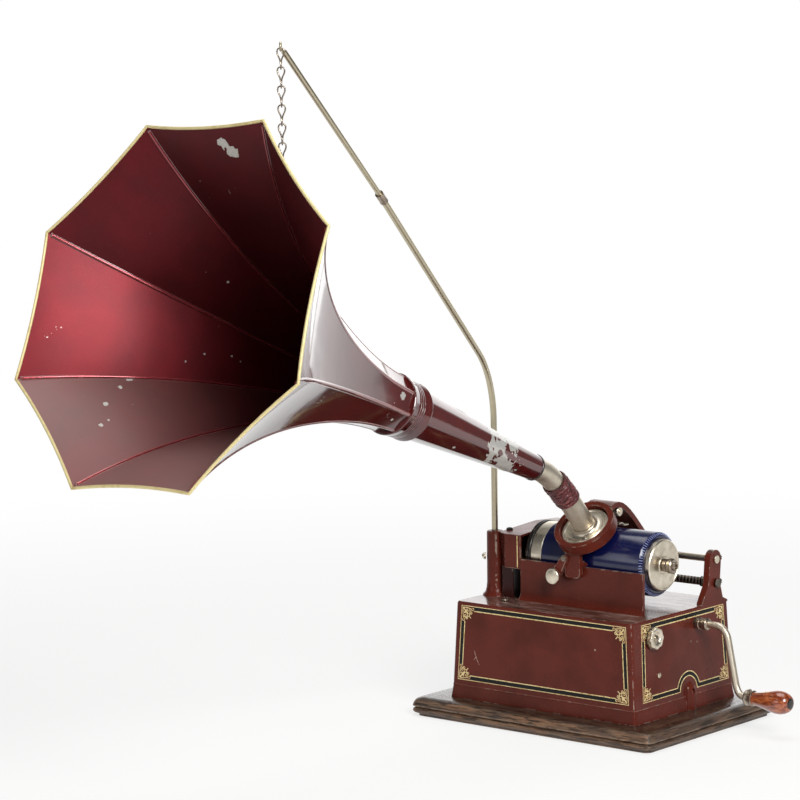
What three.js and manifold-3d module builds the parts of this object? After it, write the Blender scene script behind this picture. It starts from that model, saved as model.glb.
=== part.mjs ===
// A small spring-driven cylinder phonograph with an octagonal horn hung from a crane.
// Millimetres, +Z up. +X runs along the mandrel to its free end, and the horn opens toward -Y.
// The origin is the centre of the base board's underside.

import * as THREE from 'three';
import Module from 'manifold-3d';
import { mergeVertices } from 'three/addons/utils/BufferGeometryUtils.js';

const wasm = await Module();
wasm.setup();

// Clearances shared by every piece
const gap = 0.3;
const runningGap = 0.3;
const overrun = 2;

// Base board
const boardWidth = 261;
const boardDepth = 193;
const boardHeight = 17;
const boardCorner = 6;
const boardUndercut = 4;
const boardUndercutHeight = 1.5;
const boardBeadRadius = 2.6;
const boardGrooveDepth = 2.4;
const boardGrooveHeight = 1.2;
const boardRoundRadius = 8;

// Case walls and bed
const caseFootWidth = 203;
const caseFootDepth = 151;
const plinthHeight = 12;
const plinthWidth = 199;
const plinthDepth = 149;
const bedWidth = 191;
const bedDepth = 145;
const caseHeight = 86.9;
const caseWall = 5;
const caseCorner = 3;
const bedEdgeRadius = 1.6;
const lugY = 8.4;
const lugRadius = 9;
const lugHeight = 16;
const lugSink = 4;
const lugHoleHeight = 16.7;
const lugHoleRadius = 2.2;

// Front rail cast on the bed
const railLeft = -50.8;
const railRight = 82;
const railFront = -36.8;
const railThickness = 3;
const railHeight = 36.5;
const railFootRadius = 7;

// Pillar that holds the crane
const pillarX = -86;
const pillarY = -28;
const pillarRadius = 8;
const pillarHeight = 54;
const pillarFootRadius = 9.4;
const pillarFootHeight = 9;
const pillarSocketDepth = 40;

// Record, mandrel and its shaft
const axisY = -2.6;
const axisHeight = 39.55;
const recordLeft = -32.6;
const recordLength = 108;
const recordRadius = 28.2;
const recordBevel = 1.6;
const mandrelLeft = -45;
const mandrelBandRadius = 27.2;
const mandrelLargeRadius = 24.4;
const mandrelSmallRadius = 22.6;
const mandrelNose = 5.3;
const mandrelWall = 3;
const flangeThickness = 5;
const flangeRadius = 27.9;
const shaftRadius = 4;
const shaftBossRadius = 5.6;
const shaftBossLength = 3.4;
const shaftNeckRadius = 4.4;
const shaftNeckLength = 1.6;
const shaftNutRadius = 6.6;
const shaftNutLength = 5;
const shaftTipRadius = 3.6;
const shaftTipLength = 1.8;

// Guide rod, feed screw and the uprights that carry them
const rodsY = 54;
const guideHeight = 38.1;
const guideRadius = 3.1;
const screwHeight = 17.1;
const screwRadius = 3.6;
const screwPivotRadius = 2.6;
const screwCollarRadius = 4.7;
const screwCollarLength = 5;
const screwCollarInset = 4;
const screwNutRadius = 3.8;
const screwNutLength = 3;
const guideCapRadius = 3.6;
const guideCapLength = 1.4;
const rightUprightThickness = 6;
const rightUprightWidth = 16;
const rightUprightTop = 8.6;
const rightUprightFoot = 10;
const rightUprightShoulder = 3;
const leftUprightThickness = 10;
const leftUprightMargin = 12;
const leftUprightBackMargin = 10;

// Gears, in mesh in one plane left of the left upright
const gearModule = 2;
const gearFace = 6;
const gearSpacing = 6;
const mandrelTeeth = 14;
const transferTeeth = 18;
const driveTeeth = 30;
const idlerTeeth = 17;
const feedTeeth = 14;
const drivePinionTeeth = 10;
const barrelTeeth = 28;
const driveShiftY = -3.4;
const studRadius = 2.5;
const driveShaftRadius = 2.6;
const fineModule = 1.5;
const windingTeeth = 35;
const windingPinionTeeth = 9;
const governorWheelTeeth = 30;
const governorPinionTeeth = 8;
const toothTipShare = 0.7;
const toothRootShare = 1.05;
const toothTipWidthShare = 0.1;
const toothRootWidthShare = 0.3;
const slotMargin = 2;

// Gear cover
const coverGapToPillar = 0.6;
const coverWall = 2;
const coverRight = -51.4;
const coverFront = -36;
const coverBack = 77;
const coverSill = 27.3;
const coverFrontHeight = 57;
const coverCrownHeight = 70.4;
const coverBackHeight = 46;
const coverStepY = 34;
const coverShoulderDrop = 7;

// Motor frame and spring motor inside the case
const frameLeft = -57;
const frameRight = 42;
const framePlate = 3;
const frameFront = -56;
const frameBack = 64;
const frameBottom = 27;
const framePillarRadius = 3.5;
const framePillarInset = 5;
const barrelLeft = -28;
const barrelLength = 30;
const barrelRadius = 25.5;
const barrelWall = 1.8;
const barrelGearFace = 5;
const barrelLidThickness = 2;
const springInnerRadius = 9;
const arborRadius = 3.5;
const arborHubRadius = 7;
const windingFace = 5;
const windingOffset = 7;
const ratchetRadius = 11;
const ratchetTeeth = 12;
const ratchetToothDepth = 2.2;
const ratchetFace = 3.2;
const pawlStand = 1.2;
const pawlLength = 15;
const pawlWidth = 4;
const pawlPivotRadius = 1.5;
const governorWheelLeft = 10;
const governorWheelFace = 4;
const governorLeanDegrees = 12;
const governorRadius = 2;
const governorWeightRadius = 4;
const governorWeightReach = 9;
const governorWeightLength = 8;
const governorWeightLeft = 19;
const governorDiscRadius = 12;
const governorDiscLeft = 32;
const governorDiscThickness = 2.4;

// Start and stop knob on the right wall, and the brake cam that it turns
const knobY = -44;
const knobHeight = 70.8;
const knobRadius = 10;
const knobThickness = 5;
const knobScallops = 10;
const knobScallopDepth = 1;
const knobRecessRadius = 6.2;
const knobRecessDepth = 2.4;
const knobSpindleRadius = 2.4;
const brakeCamReach = 1.9;
const brakeCamFace = 3;

// Crank
const crankY = 22.4;
const crankHeight = 73.6;
const crankShaftRadius = 4;
const crankHubRadius = 5.2;
const crankHubLength = 12;
const crankHubStand = 1.5;
const crankRodRadius = 3.2;
const crankThrow = 59.6;
const crankBendRadius = 12;
const crankRodTop = 130.5;
const crankRodFoot = 139.5;
const crankArmEnd = 148;
const crankPinRadius = 2.4;
const gripFerruleRadius = 7;
const gripFerruleLength = 8;
const gripNeckRadius = 5.6;
const gripRadius = 10.4;
const gripLength = 46;
const gripEndRadius = 7;

// Carriage: a bush that slides on the guide rod and an arm that turns on the bush
const carriageX = 13.5;
const bushLength = 35;
const bushRadius = 5.6;
const armBossLength = 31;
const armBossRadius = 9;
const armLean = 51.6;
const ringRadius = 27.9;
const ringBore = 22.4;
const ringLipBore = 19;
const ringLipThickness = 2;
const ringDepth = 12;
const ringStand = 2.5;
const archThickness = 5;
const archWidth = 27;
const archRise = 9;
const footLeft = 3;
const footRight = 19;
const footBottom = 27;
const footTop = 50;
const footThickness = 4.5;
const footStand = 1.6;
const restLugDepth = 1.2;
const restLugHeight = 5;
const halfNutLength = 18;
const halfNutHeight = 9;
const halfNutDepth = 7;
const leverPivotX = 4;
const leverPivotHeight = 44.1;
const leverPivotRadius = 1.8;
const leverEndX = -6;
const leverEndHeight = 27.6;
const leverPivotHalfWidth = 3;
const leverHalfWidth = 5;
const leverThickness = 2.8;
const leverKnobRadius = 7;
const leverKnobThickness = 4;
const leverFingerLength = 18;
const leverFingerThickness = 1.5;
const leverFingerHalfWidth = 1.6;

// Reproducer
const soundboxRadius = 22;
const soundboxDepth = 6.4;
const soundboxStepRadius = 17;
const soundboxStepHeight = 1;
const soundboxNeckRadius = 11;
const soundboxNeckHeight = 3.4;
const weightRadius = 15.5;
const weightThickness = 1.6;
const stylusRadius = 0.9;

// Elbow: nickel tube, rubber sleeve, nickel tube
const tubeRadius = 9.7;
const tubeWall = 0.9;
const sleeveRadius = 11.6;
const sleeveStart = 0.38;
const sleeveEnd = 0.68;
const sleeveOverlap = 0.06;
const elbowLead = 26;
const elbowTail = 18;

// Horn
const hornBackY = -91;
const hornBackZ = 232;
const hornRiseDegrees = 21.6;
const hornRollDegrees = 25.6;
const hornLength = 487.5;
const hornMouthRadius = 154.4;
const hornNeckRadius = 21.8;
const hornTailRadius = 10.4;
const hornSheet = 0.8;
const collarStart = 170;
const collarLength = 27;
const collarRadius = 25.4;
const collarTaper = 2;
const collarRibs = 4;
const collarRibDepth = 0.5;
const hornJointInset = 13;
const flareShares = [0.9, 0.1];
const seamWidth = 2.2;
const seamHeight = 1.2;
const rimRadius = 2.7;
const tailBeadRadius = 11.4;
const tailBeadLength = 2.4;
const eyeStation = 371;
const eyeRadius = 6.2;
const eyeWire = 1.1;

// Crane and chain
const craneAzimuthDegrees = 14.5;
const craneRodRadius = 2.8;
const craneUpperRadius = 2.3;
const craneKneeZ = 300.3;
const craneBendRadius = 82;
const craneLowerRiseDegrees = 37.8;
const craneUpperRiseDegrees = 36;
const craneJointReach = 222.2;
const craneReach = 396.6;
const craneFerruleRadius = 3.6;
const craneFerruleLength = 12;
const tipEyeRadius = 3;
const tipEyeWire = 1;
const tipNeckRadius = 1;
const tipNeckLength = 7;
const chainFacingDegrees = 40;
const linkCount = 7;
const linkPitch = 14.5;
const linkWire = 0.8;
const linkLoopWidth = 4.2;
const linkWaist = 1.15;
const hookWire = 1;
const hookTopRadius = 2.6;
const hookBottomRadius = 6;

// Screws
const bedScrewX = -59.3;
const bedScrewY = -48;
const slotHeadRadius = 3.2;
const slotHeadHeight = 1.8;
const slotWidth = 0.9;
const slotDepth = 0.9;
const clampScrewHeight = 35;
const clampScrewTurnDegrees = 217;

// How finely round shapes are divided
const round = 28;
const fine = 20;
const medium = 14;
const coarse = 8;

const degree = Math.PI / 180;

// Levels and places that follow from the sizes above
const boardTop = boardHeight;
const bedTop = boardTop + caseHeight;
const bedUnderside = bedTop - caseWall;
const rightFace = bedWidth / 2;
const axisZ = bedTop + axisHeight;
const guideZ = bedTop + guideHeight;
const screwZ = bedTop + screwHeight;
const recordRight = recordLeft + recordLength;
const mandrelRight = recordRight + mandrelNose;
const flangeLeft = mandrelLeft - gap - flangeThickness;
const leftUprightRight = flangeLeft - runningGap - gap;
const leftUprightLeft = leftUprightRight - leftUprightThickness;
const gearRight = leftUprightLeft - gearSpacing;
const gearLeft = gearRight - gearFace;
const rightUprightLeft = rightFace - rightUprightThickness;
const coverLeft = pillarX + pillarRadius + coverGapToPillar;
const railTop = bedTop + railHeight;
const ratchetLeft = frameRight + framePlate + pawlStand;
const railBack = railFront + railThickness;

// Looks
const paint = (color, roughness = 0.35, metalness = 0) => ({ color, roughness, metalness });
const looks = {
  oak: paint(0x5b4a3d, 0.7),
  enamel: paint(0x5f2a24, 0.35),
  hornOutside: paint(0x5a1c20, 0.25),
  gilt: paint(0xd8c27a, 0.4, 0.6),
  nickel: paint(0xc9c3b4, 0.25, 1),
  brass: paint(0xb08d4a, 0.35, 1),
  steel: paint(0x6e6a66, 0.4, 1),
  black: paint(0x17130f, 0.5),
  wax: paint(0x1c2458, 0.25),
  rubber: paint(0x6e3330, 0.85),
  amber: paint(0xa2521f, 0.25),
};

const phonograph = new THREE.Group();

function add(name, geometry, look, parent = phonograph) {
  const mesh = new THREE.Mesh(geometry, new THREE.MeshStandardMaterial(looks[look]));
  mesh.name = name;
  parent.add(mesh);
  return mesh;
}

// Closed meshes: vertices merged and faces pointing out

function signedVolume(geometry) {
  const p = geometry.attributes.position;
  const index = geometry.index;
  const corners = [new THREE.Vector3(), new THREE.Vector3(), new THREE.Vector3()];
  let sum = 0;
  for (let i = 0; i < index.count; i += 3) {
    corners.forEach((corner, k) => corner.fromBufferAttribute(p, index.getX(i + k)));
    sum += corners[0].dot(corners[1].clone().cross(corners[2]));
  }
  return sum;
}

function closed(geometry) {
  const bare = geometry.clone();
  bare.deleteAttribute('normal');
  bare.deleteAttribute('uv');
  const merged = mergeVertices(bare, 1e-4);
  const kept = [];
  const index = merged.index.array;
  for (let i = 0; i < index.length; i += 3) {
    const [a, b, c] = [index[i], index[i + 1], index[i + 2]];
    if (a !== b && b !== c && c !== a) kept.push(a, b, c);
  }
  merged.setIndex(kept);
  if (signedVolume(merged) < 0) {
    for (let i = 0; i < kept.length; i += 3) [kept[i], kept[i + 1]] = [kept[i + 1], kept[i]];
    merged.setIndex(kept);
  }
  return merged;
}

function toSolid(geometry) {
  const shape = closed(geometry);
  return new wasm.Manifold(new wasm.Mesh({
    numProp: 3,
    vertProperties: new Float32Array(shape.attributes.position.array),
    triVerts: new Uint32Array(shape.index.array),
  }));
}

function toGeometry(solid) {
  const mesh = solid.getMesh();
  const geometry = new THREE.BufferGeometry();
  geometry.setAttribute('position', new THREE.BufferAttribute(new Float32Array(mesh.vertProperties), 3));
  geometry.setIndex(Array.from(mesh.triVerts));
  return geometry;
}

function join(...pieces) {
  return toGeometry(pieces.map(toSolid).reduce((sum, piece) => sum.add(piece)));
}

function cut(base, ...tools) {
  return toGeometry(tools.map(toSolid).reduce((rest, tool) => rest.subtract(tool), toSolid(base)));
}

// Plain shapes

function block(x0, x1, y0, y1, z0, z1) {
  const box = new THREE.BoxGeometry(x1 - x0, y1 - y0, z1 - z0);
  return closed(box.translate((x0 + x1) / 2, (y0 + y1) / 2, (z0 + z1) / 2));
}

const outlineAcrossX = new THREE.Matrix4().makeBasis(
  new THREE.Vector3(0, 1, 0), new THREE.Vector3(0, 0, 1), new THREE.Vector3(1, 0, 0));
const outlineAcrossY = new THREE.Matrix4().makeBasis(
  new THREE.Vector3(1, 0, 0), new THREE.Vector3(0, 0, 1), new THREE.Vector3(0, -1, 0));

function extrude(outline, depth, holes = []) {
  const shape = new THREE.Shape(outline.map(([u, v]) => new THREE.Vector2(u, v)));
  shape.holes = holes.map((hole) => new THREE.Path(hole.map(([u, v]) => new THREE.Vector2(u, v))));
  return new THREE.ExtrudeGeometry(shape, { depth, bevelEnabled: false, steps: 1 });
}

// Plates: an outline in Y and Z with its thickness along X, or in X and Z with its thickness along Y
function plateX(outline, x0, x1, holes = []) {
  return closed(extrude(outline, x1 - x0, holes).applyMatrix4(outlineAcrossX).translate(x0, 0, 0));
}

function plateY(outline, y0, y1, holes = []) {
  return closed(extrude(outline, y1 - y0, holes).applyMatrix4(outlineAcrossY).translate(0, y1, 0));
}

function circle(centre, radius, count, turn = 0) {
  return Array.from({ length: count }, (_, i) => {
    const angle = turn + (i / count) * 2 * Math.PI;
    return [centre[0] + radius * Math.cos(angle), centre[1] + radius * Math.sin(angle)];
  });
}

function arc(centre, radius, fromDegrees, toDegrees, steps) {
  return Array.from({ length: steps + 1 }, (_, i) => {
    const angle = (fromDegrees + ((toDegrees - fromDegrees) * i) / steps) * degree;
    return [centre[0] + radius * Math.cos(angle), centre[1] + radius * Math.sin(angle)];
  });
}

// A bar with round ends, from one point to another
function roundBar(from, to, halfWidth, endHalfWidth = halfWidth) {
  const angle = Math.atan2(to[1] - from[1], to[0] - from[0]) / degree;
  return [...arc(to, endHalfWidth, angle - 90, angle + 90, 6),
    ...arc(from, halfWidth, angle + 90, angle + 270, 6)];
}

// Turned pieces: a profile of [place along the axis, radius]
function turned(profile, sides) {
  return new THREE.LatheGeometry(profile.map(([place, radius]) => new THREE.Vector2(radius, place)), sides);
}

function turnedX(profile, y, z, sides = medium) {
  return closed(turned(profile, sides).rotateZ(-Math.PI / 2).translate(0, y, z));
}

function turnedZ(profile, x, y, sides = medium) {
  return closed(turned(profile, sides).rotateX(Math.PI / 2).translate(x, y, 0));
}

function solidProfile(...steps) {
  return [[steps[0][0], 0], ...steps, [steps[steps.length - 1][0], 0]];
}

function rodX(x0, x1, radius, y, z, sides = medium) {
  return turnedX(solidProfile([x0, radius], [x1, radius]), y, z, sides);
}

function rodY(y0, y1, radius, x, z, sides = medium) {
  const profile = solidProfile([y0, radius], [y1, radius]);
  return closed(turned(profile, sides).translate(x, 0, z));
}

function tubeProfile(x0, x1, inner, outer) {
  return [[x0, inner], [x0, outer], [x1, outer], [x1, inner], [x0, inner]];
}

// Lofts: rings of points skinned together, with both ends closed
function capTriangles(ring, offset, flip) {
  const normal = new THREE.Vector3();
  const origin = ring[0];
  for (let i = 1; i < ring.length - 1; i += 1) {
    normal.add(ring[i].clone().sub(origin).cross(ring[i + 1].clone().sub(origin)));
  }
  normal.normalize();
  const across = ring[1].clone().sub(origin).projectOnPlane(normal).normalize();
  const up = normal.clone().cross(across);
  const flat = ring.map((point) => new THREE.Vector2(point.dot(across), point.dot(up)));
  return THREE.ShapeUtils.triangulateShape(flat, [])
    .flatMap(([a, b, c]) =>
      (flip ? [offset + c, offset + b, offset + a] : [offset + a, offset + b, offset + c]));
}

function loft(rings, joined = false) {
  const count = rings[0].length;
  const index = [];
  const bands = joined ? rings.length : rings.length - 1;
  for (let r = 0; r < bands; r += 1) {
    for (let i = 0; i < count; i += 1) {
      const j = (i + 1) % count;
      const here = r * count;
      const next = ((r + 1) % rings.length) * count;
      index.push(here + i, here + j, next + j, here + i, next + j, next + i);
    }
  }
  if (!joined) {
    index.push(...capTriangles(rings[0], 0, true));
    index.push(...capTriangles(rings[rings.length - 1], (rings.length - 1) * count, false));
  }
  const geometry = new THREE.BufferGeometry();
  geometry.setAttribute('position',
    new THREE.Float32BufferAttribute(rings.flat().flatMap((p) => [p.x, p.y, p.z]), 3));
  geometry.setIndex(index);
  return closed(geometry);
}

// Wire and tube: a circle carried along a route of points
class Route extends THREE.Curve {
  constructor(points) {
    super();
    this.points = points;
  }

  getPoint(t, target = new THREE.Vector3()) {
    const place = Math.min(Math.max(t, 0), 1) * (this.points.length - 1);
    const first = Math.min(Math.floor(place), this.points.length - 2);
    return target.copy(this.points[first]).lerp(this.points[first + 1], place - first);
  }

  getPointAt(u, target) {
    return this.getPoint(u, target);
  }

  getTangentAt(u, target) {
    return this.getTangent(u, target);
  }
}

function sweep(points, radius, sides) {
  const shape = new THREE.Shape(circle([0, 0], radius, sides).map(([u, v]) => new THREE.Vector2(u, v)));
  return closed(new THREE.ExtrudeGeometry(shape,
    { steps: points.length - 1, extrudePath: new Route(points) }));
}

function ringSweep(points, radius, sides) {
  const curve = new Route([...points, points[0]]);
  return closed(new THREE.TubeGeometry(curve, points.length, radius, sides, true));
}

// Rounded rectangles stacked on one another: layers of [width, depth, height, corner radius]
function stacked(layers, cornerSteps = 4) {
  return loft(layers.map(([width, depth, z, corner]) => {
    const u = width / 2 - corner;
    const v = depth / 2 - corner;
    return [[u, v, 0], [-u, v, 90], [-u, -v, 180], [u, -v, 270]]
      .flatMap(([x, y, from]) => arc([x, y], corner, from, from + 90, cornerSteps))
      .map(([x, y]) => new THREE.Vector3(x, y, z));
  }));
}

// Gears

function pitchRadius(teeth, module) {
  return (teeth * module) / 2;
}

function gearOutline(teeth, module, turn) {
  const radius = pitchRadius(teeth, module);
  const tip = radius + toothTipShare * module;
  const root = radius - toothRootShare * module;
  const pitch = (2 * Math.PI) / teeth;
  const corners = [
    [-toothRootWidthShare, root], [-toothTipWidthShare, tip],
      [toothTipWidthShare, tip], [toothRootWidthShare, root],
  ];
  return Array.from({ length: teeth }, (_, i) => corners.map(([share, r]) => {
    const angle = turn + (i + share) * pitch;
    return [r * Math.cos(angle), r * Math.sin(angle)];
  })).flat();
}

function gearX(teeth, module, turn, bore, x0, x1, [y, z]) {
  const holes = bore > 0 ? [circle([0, 0], bore, medium)] : [];
  return plateX(gearOutline(teeth, module, turn), x0, x1, holes).translate(0, y, z);
}

// The turn that puts a gap of the second gear where the first gear has a tooth
function meshedTurn(turnA, teethA, centreA, teethB, centreB) {
  const direction = Math.atan2(centreB[1] - centreA[1], centreB[0] - centreA[0]);
  return direction + Math.PI - (teethA / teethB) * (turnA - direction) + Math.PI / teethB;
}

// The point at two given distances from two centres, on the left of the way from the first to the second
function meetingPoint(a, distanceA, b, distanceB, side) {
  const span = Math.hypot(b[0] - a[0], b[1] - a[1]);
  const along = (distanceA ** 2 - distanceB ** 2 + span ** 2) / (2 * span);
  const off = side * Math.sqrt(distanceA ** 2 - along ** 2);
  const u = [(b[0] - a[0]) / span, (b[1] - a[1]) / span];
  return [a[0] + along * u[0] - off * u[1], a[1] + along * u[1] + off * u[0]];
}

// Centres in Y and Z of every shaft
const mandrelCentre = [axisY, axisZ];
const feedCentre = [rodsY, screwZ];
const transferCentre = [axisY, axisZ - pitchRadius(mandrelTeeth + transferTeeth, gearModule)];
const driveDistance = pitchRadius(transferTeeth + driveTeeth, gearModule);
const driveCentre =
  [axisY + driveShiftY, transferCentre[1] - Math.sqrt(driveDistance ** 2 - driveShiftY ** 2)];
const idlerCentre = meetingPoint(mandrelCentre, pitchRadius(mandrelTeeth + idlerTeeth, gearModule),
  feedCentre, pitchRadius(idlerTeeth + feedTeeth, gearModule), 1);
const crankCentre = [crankY, boardTop + crankHeight];
const barrelCentre = meetingPoint(driveCentre, pitchRadius(drivePinionTeeth + barrelTeeth, gearModule),
  crankCentre, pitchRadius(windingTeeth + windingPinionTeeth, fineModule), -1);
const governorDistance = pitchRadius(governorWheelTeeth + governorPinionTeeth, fineModule);
const governorCentre = [
  driveCentre[0] - governorDistance * Math.cos(governorLeanDegrees * degree),
  driveCentre[1] + governorDistance * Math.sin(governorLeanDegrees * degree),
];
const knobCentre = [knobY, boardTop + knobHeight];

// How each gear is turned so that all of them mesh
const mandrelTurn = 0;
const transferTurn = meshedTurn(mandrelTurn, mandrelTeeth, mandrelCentre, transferTeeth, transferCentre);
const driveTurn = meshedTurn(transferTurn, transferTeeth, transferCentre, driveTeeth, driveCentre);
const idlerTurn = meshedTurn(mandrelTurn, mandrelTeeth, mandrelCentre, idlerTeeth, idlerCentre);
const feedTurn = meshedTurn(idlerTurn, idlerTeeth, idlerCentre, feedTeeth, feedCentre);
const barrelTurn = meshedTurn(0, drivePinionTeeth, driveCentre, barrelTeeth, barrelCentre);
const windingTurn = meshedTurn(0, windingPinionTeeth, crankCentre, windingTeeth, barrelCentre);
const governorTurn = meshedTurn(0, governorWheelTeeth, driveCentre, governorPinionTeeth, governorCentre);

// Base board with a bead, a groove and a large quarter round
function baseBoard() {
  const grooveZ = boardHeight - boardRoundRadius - boardGrooveHeight / 2;
  const layer = (inset, z) => [boardWidth - 2 * inset, boardDepth - 2 * inset, z, boardCorner];
  const beadZ = grooveZ - boardGrooveHeight / 2 - boardBeadRadius;
  const bead = arc([0, beadZ], boardBeadRadius, -90, 90,
    6).map(([out, z]) => layer(boardBeadRadius - out, z));
  const round = arc([0, boardHeight - boardRoundRadius], boardRoundRadius, 0, 90, 6)
    .map(([out, z]) => layer(boardRoundRadius - out, z));
  return stacked([
    layer(boardUndercut, 0),
    layer(boardUndercut, boardUndercutHeight),
    ...bead,
    layer(boardGrooveDepth, grooveZ - boardGrooveHeight / 2 + gap / 2),
    layer(boardGrooveDepth, grooveZ + boardGrooveHeight / 2),
    ...round,
  ]);
}

// Hollow casting: walls, bed, rail, pillar, both uprights and the two gear studs
function caseShell() {
  const outer = stacked([
    [caseFootWidth, caseFootDepth, boardTop, caseCorner],
    [plinthWidth, plinthDepth, boardTop + plinthHeight, caseCorner],
    [bedWidth, bedDepth, bedTop - bedEdgeRadius, caseCorner],
    [bedWidth - bedEdgeRadius, bedDepth - bedEdgeRadius, bedTop, caseCorner],
  ], 3);
  const two = 2 * caseWall;
  const inner = stacked([
    [caseFootWidth - two, caseFootDepth - two, boardTop - overrun, caseCorner],
    [plinthWidth - two, plinthDepth - two, boardTop + plinthHeight, caseCorner],
    [bedWidth - two, bedDepth - two, bedUnderside, caseCorner],
  ], 3);
  return cut(outer, inner);
}

function rail() {
  const heel = railFootRadius;
  const face = [
    [railRight, bedTop - overrun], [railRight, railTop], [railLeft, railTop], [railLeft, bedTop + heel],
    ...arc([railLeft - heel, bedTop + heel], heel, 0, -90, 4), [railLeft - heel, bedTop - overrun],
  ];
  const fillet = [
    [railBack, bedTop - overrun], [railBack, bedTop + heel], [railFront, bedTop + heel],
    ...arc([railFront - heel, bedTop + heel], heel, 0, -90, 4), [railFront - heel, bedTop - overrun],
  ];
  return join(plateY(face, railFront, railBack), plateX(fillet, railLeft, railRight));
}

function pillar() {
  const top = bedTop + pillarHeight;
  const body = turnedZ(solidProfile([bedTop - overrun, pillarFootRadius], [bedTop + gap, pillarFootRadius],
    [bedTop + pillarFootHeight, pillarRadius], [top, pillarRadius]), pillarX, pillarY);
  const socket = turnedZ(solidProfile([top - pillarSocketDepth, craneRodRadius + runningGap],
    [top + overrun, craneRodRadius + runningGap]), pillarX, pillarY);
  return cut(body, socket);
}

function rightUpright() {
  const half = rightUprightWidth / 2;
  const topCentre = [rodsY - gap, guideZ];
  const outline = [
    [rodsY + half + rightUprightFoot, bedTop - overrun],
    [rodsY + half + rightUprightFoot, bedTop],
    [rodsY + half + rightUprightShoulder, bedTop + rightUprightShoulder],
    [rodsY + half - rightUprightShoulder / 2, screwZ],
    ...arc(topCentre, rightUprightTop, 0, 180, 8),
    [rodsY - half - rightUprightShoulder, screwZ],
    [rodsY - half - rightUprightShoulder - rightUprightFoot, bedTop + rightUprightShoulder / 2],
    [rodsY - half - rightUprightShoulder - rightUprightFoot, bedTop - overrun],
  ];
  return plateX(outline, rightUprightLeft, rightFace);
}

function leftUpright() {
  const outline = [
    [rodsY + leftUprightBackMargin, bedTop - overrun],
    [rodsY + leftUprightBackMargin, guideZ],
    ...arc([rodsY, guideZ], leftUprightBackMargin, 0, 80, 3),
    ...arc(mandrelCentre, leftUprightMargin, 80, 180, 5),
    [axisY - leftUprightMargin, bedTop - overrun],
  ];
  const studs = [transferCentre, idlerCentre]
    .map(([y, z]) => rodX(gearLeft - gap, leftUprightRight - overrun, studRadius, y, z, coarse));
  return join(plateX(outline, leftUprightLeft, leftUprightRight), ...studs);
}

function lug() {
  const wallX = plinthWidth / 2 - lugSink;
  const top = boardTop + lugHeight;
  const dome = arc([top, 0], lugRadius, 90, 0, 3).map(([z, r]) => [z, r]);
  return turnedZ(solidProfile([boardTop, lugRadius], ...dome.slice(0, -1), [top + lugRadius, gap]),
    wallX, lugY, coarse);
}

function caseCasting() {
  const throughLeft = [leftUprightLeft - overrun, leftUprightRight + overrun];
  const throughRight = [rightUprightLeft - overrun, rightFace + overrun];
  const widths = [caseFootWidth, plinthWidth, bedWidth];
  const wallHole = [Math.min(...widths) / 2 - 3 * caseWall, Math.max(...widths) / 2 + overrun];
  const slotHalf = pitchRadius(transferTeeth, gearModule) + slotMargin;
  const lugX = plinthWidth / 2 + lugRadius - lugSink;
  const whole = join(caseShell(), rail(), pillar(), rightUpright(), leftUpright());
  const lugPiece =
    cut(lug(), block(0, plinthWidth / 2 - caseWall + gap, -caseFootDepth, caseFootDepth, 0, bedTop));
  return cut(
    join(whole, lugPiece),
    rodX(...throughLeft, shaftRadius + runningGap, ...mandrelCentre),
    rodX(...throughLeft, screwPivotRadius + runningGap, ...feedCentre),
    rodX(...throughLeft, guideRadius + gap, rodsY, guideZ),
    rodX(...throughRight, guideRadius + gap, rodsY, guideZ),
    rodX(...throughRight, screwPivotRadius + runningGap, ...feedCentre),
    rodX(...wallHole, crankShaftRadius + runningGap, ...crankCentre),
    rodX(...wallHole, knobSpindleRadius + runningGap, ...knobCentre),
    rodX(lugX - lugRadius / 2, lugX + overrun, lugHoleRadius, lugY, boardTop + lugHoleHeight, coarse),
    block(gearLeft - slotMargin, gearRight + slotMargin, transferCentre[0] - slotHalf,
      transferCentre[0] + slotHalf,
      bedUnderside - overrun, bedTop + overrun),
  );
}

// Gear cover: a fender with a wall on its left, open below and against the left upright
function coverRing(x, drop, inset, deep) {
  const front = coverFront + inset;
  const back = coverBack - inset;
  const frontTop = bedTop + coverFrontHeight - drop - inset;
  const crown = bedTop + coverCrownHeight - drop - inset;
  const backTop = bedTop + coverBackHeight - drop - inset;
  const sill = bedTop + coverSill - deep;
  const floor = bedTop + gap - deep;
  const curve = new THREE.CubicBezierCurve(
    new THREE.Vector2(front, frontTop), new THREE.Vector2(front + coverFrontHeight / 4, crown),
    new THREE.Vector2(back - coverBackHeight / 4, crown), new THREE.Vector2(back, backTop));
  const points = [
    [coverStepY, floor], [coverStepY, sill], [front, sill],
    ...curve.getPoints(10).map((point) => [point.x, point.y]), [back, floor],
  ];
  return points.map(([y, z]) => new THREE.Vector3(x, y, z));
}

function gearCover() {
  const shoulder = coverLeft + coverShoulderDrop;
  const outer = loft([
    coverRing(coverLeft, coverShoulderDrop, 0, 0), coverRing(shoulder, coverShoulderDrop / 4, 0, 0),
    coverRing(coverRight, 0, 0, 0),
  ]);
  const inner = loft([
    coverRing(coverLeft + coverWall, coverShoulderDrop, coverWall, overrun),
    coverRing(shoulder, coverShoulderDrop / 4, coverWall, overrun),
    coverRing(coverRight + overrun, 0, coverWall, overrun),
  ]);
  return cut(outer, inner);
}

// Screw heads with a slot, standing along +Z before they are placed
function slottedHead(radius, height) {
  const head = turnedZ(solidProfile([0, radius], [height / 2, radius], [height, radius / 2]), 0, 0, coarse);
  const slot = block(-radius - overrun, radius + overrun, -slotWidth / 2, slotWidth / 2,
    height - slotDepth, height + overrun);
  return cut(head, slot);
}

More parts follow.
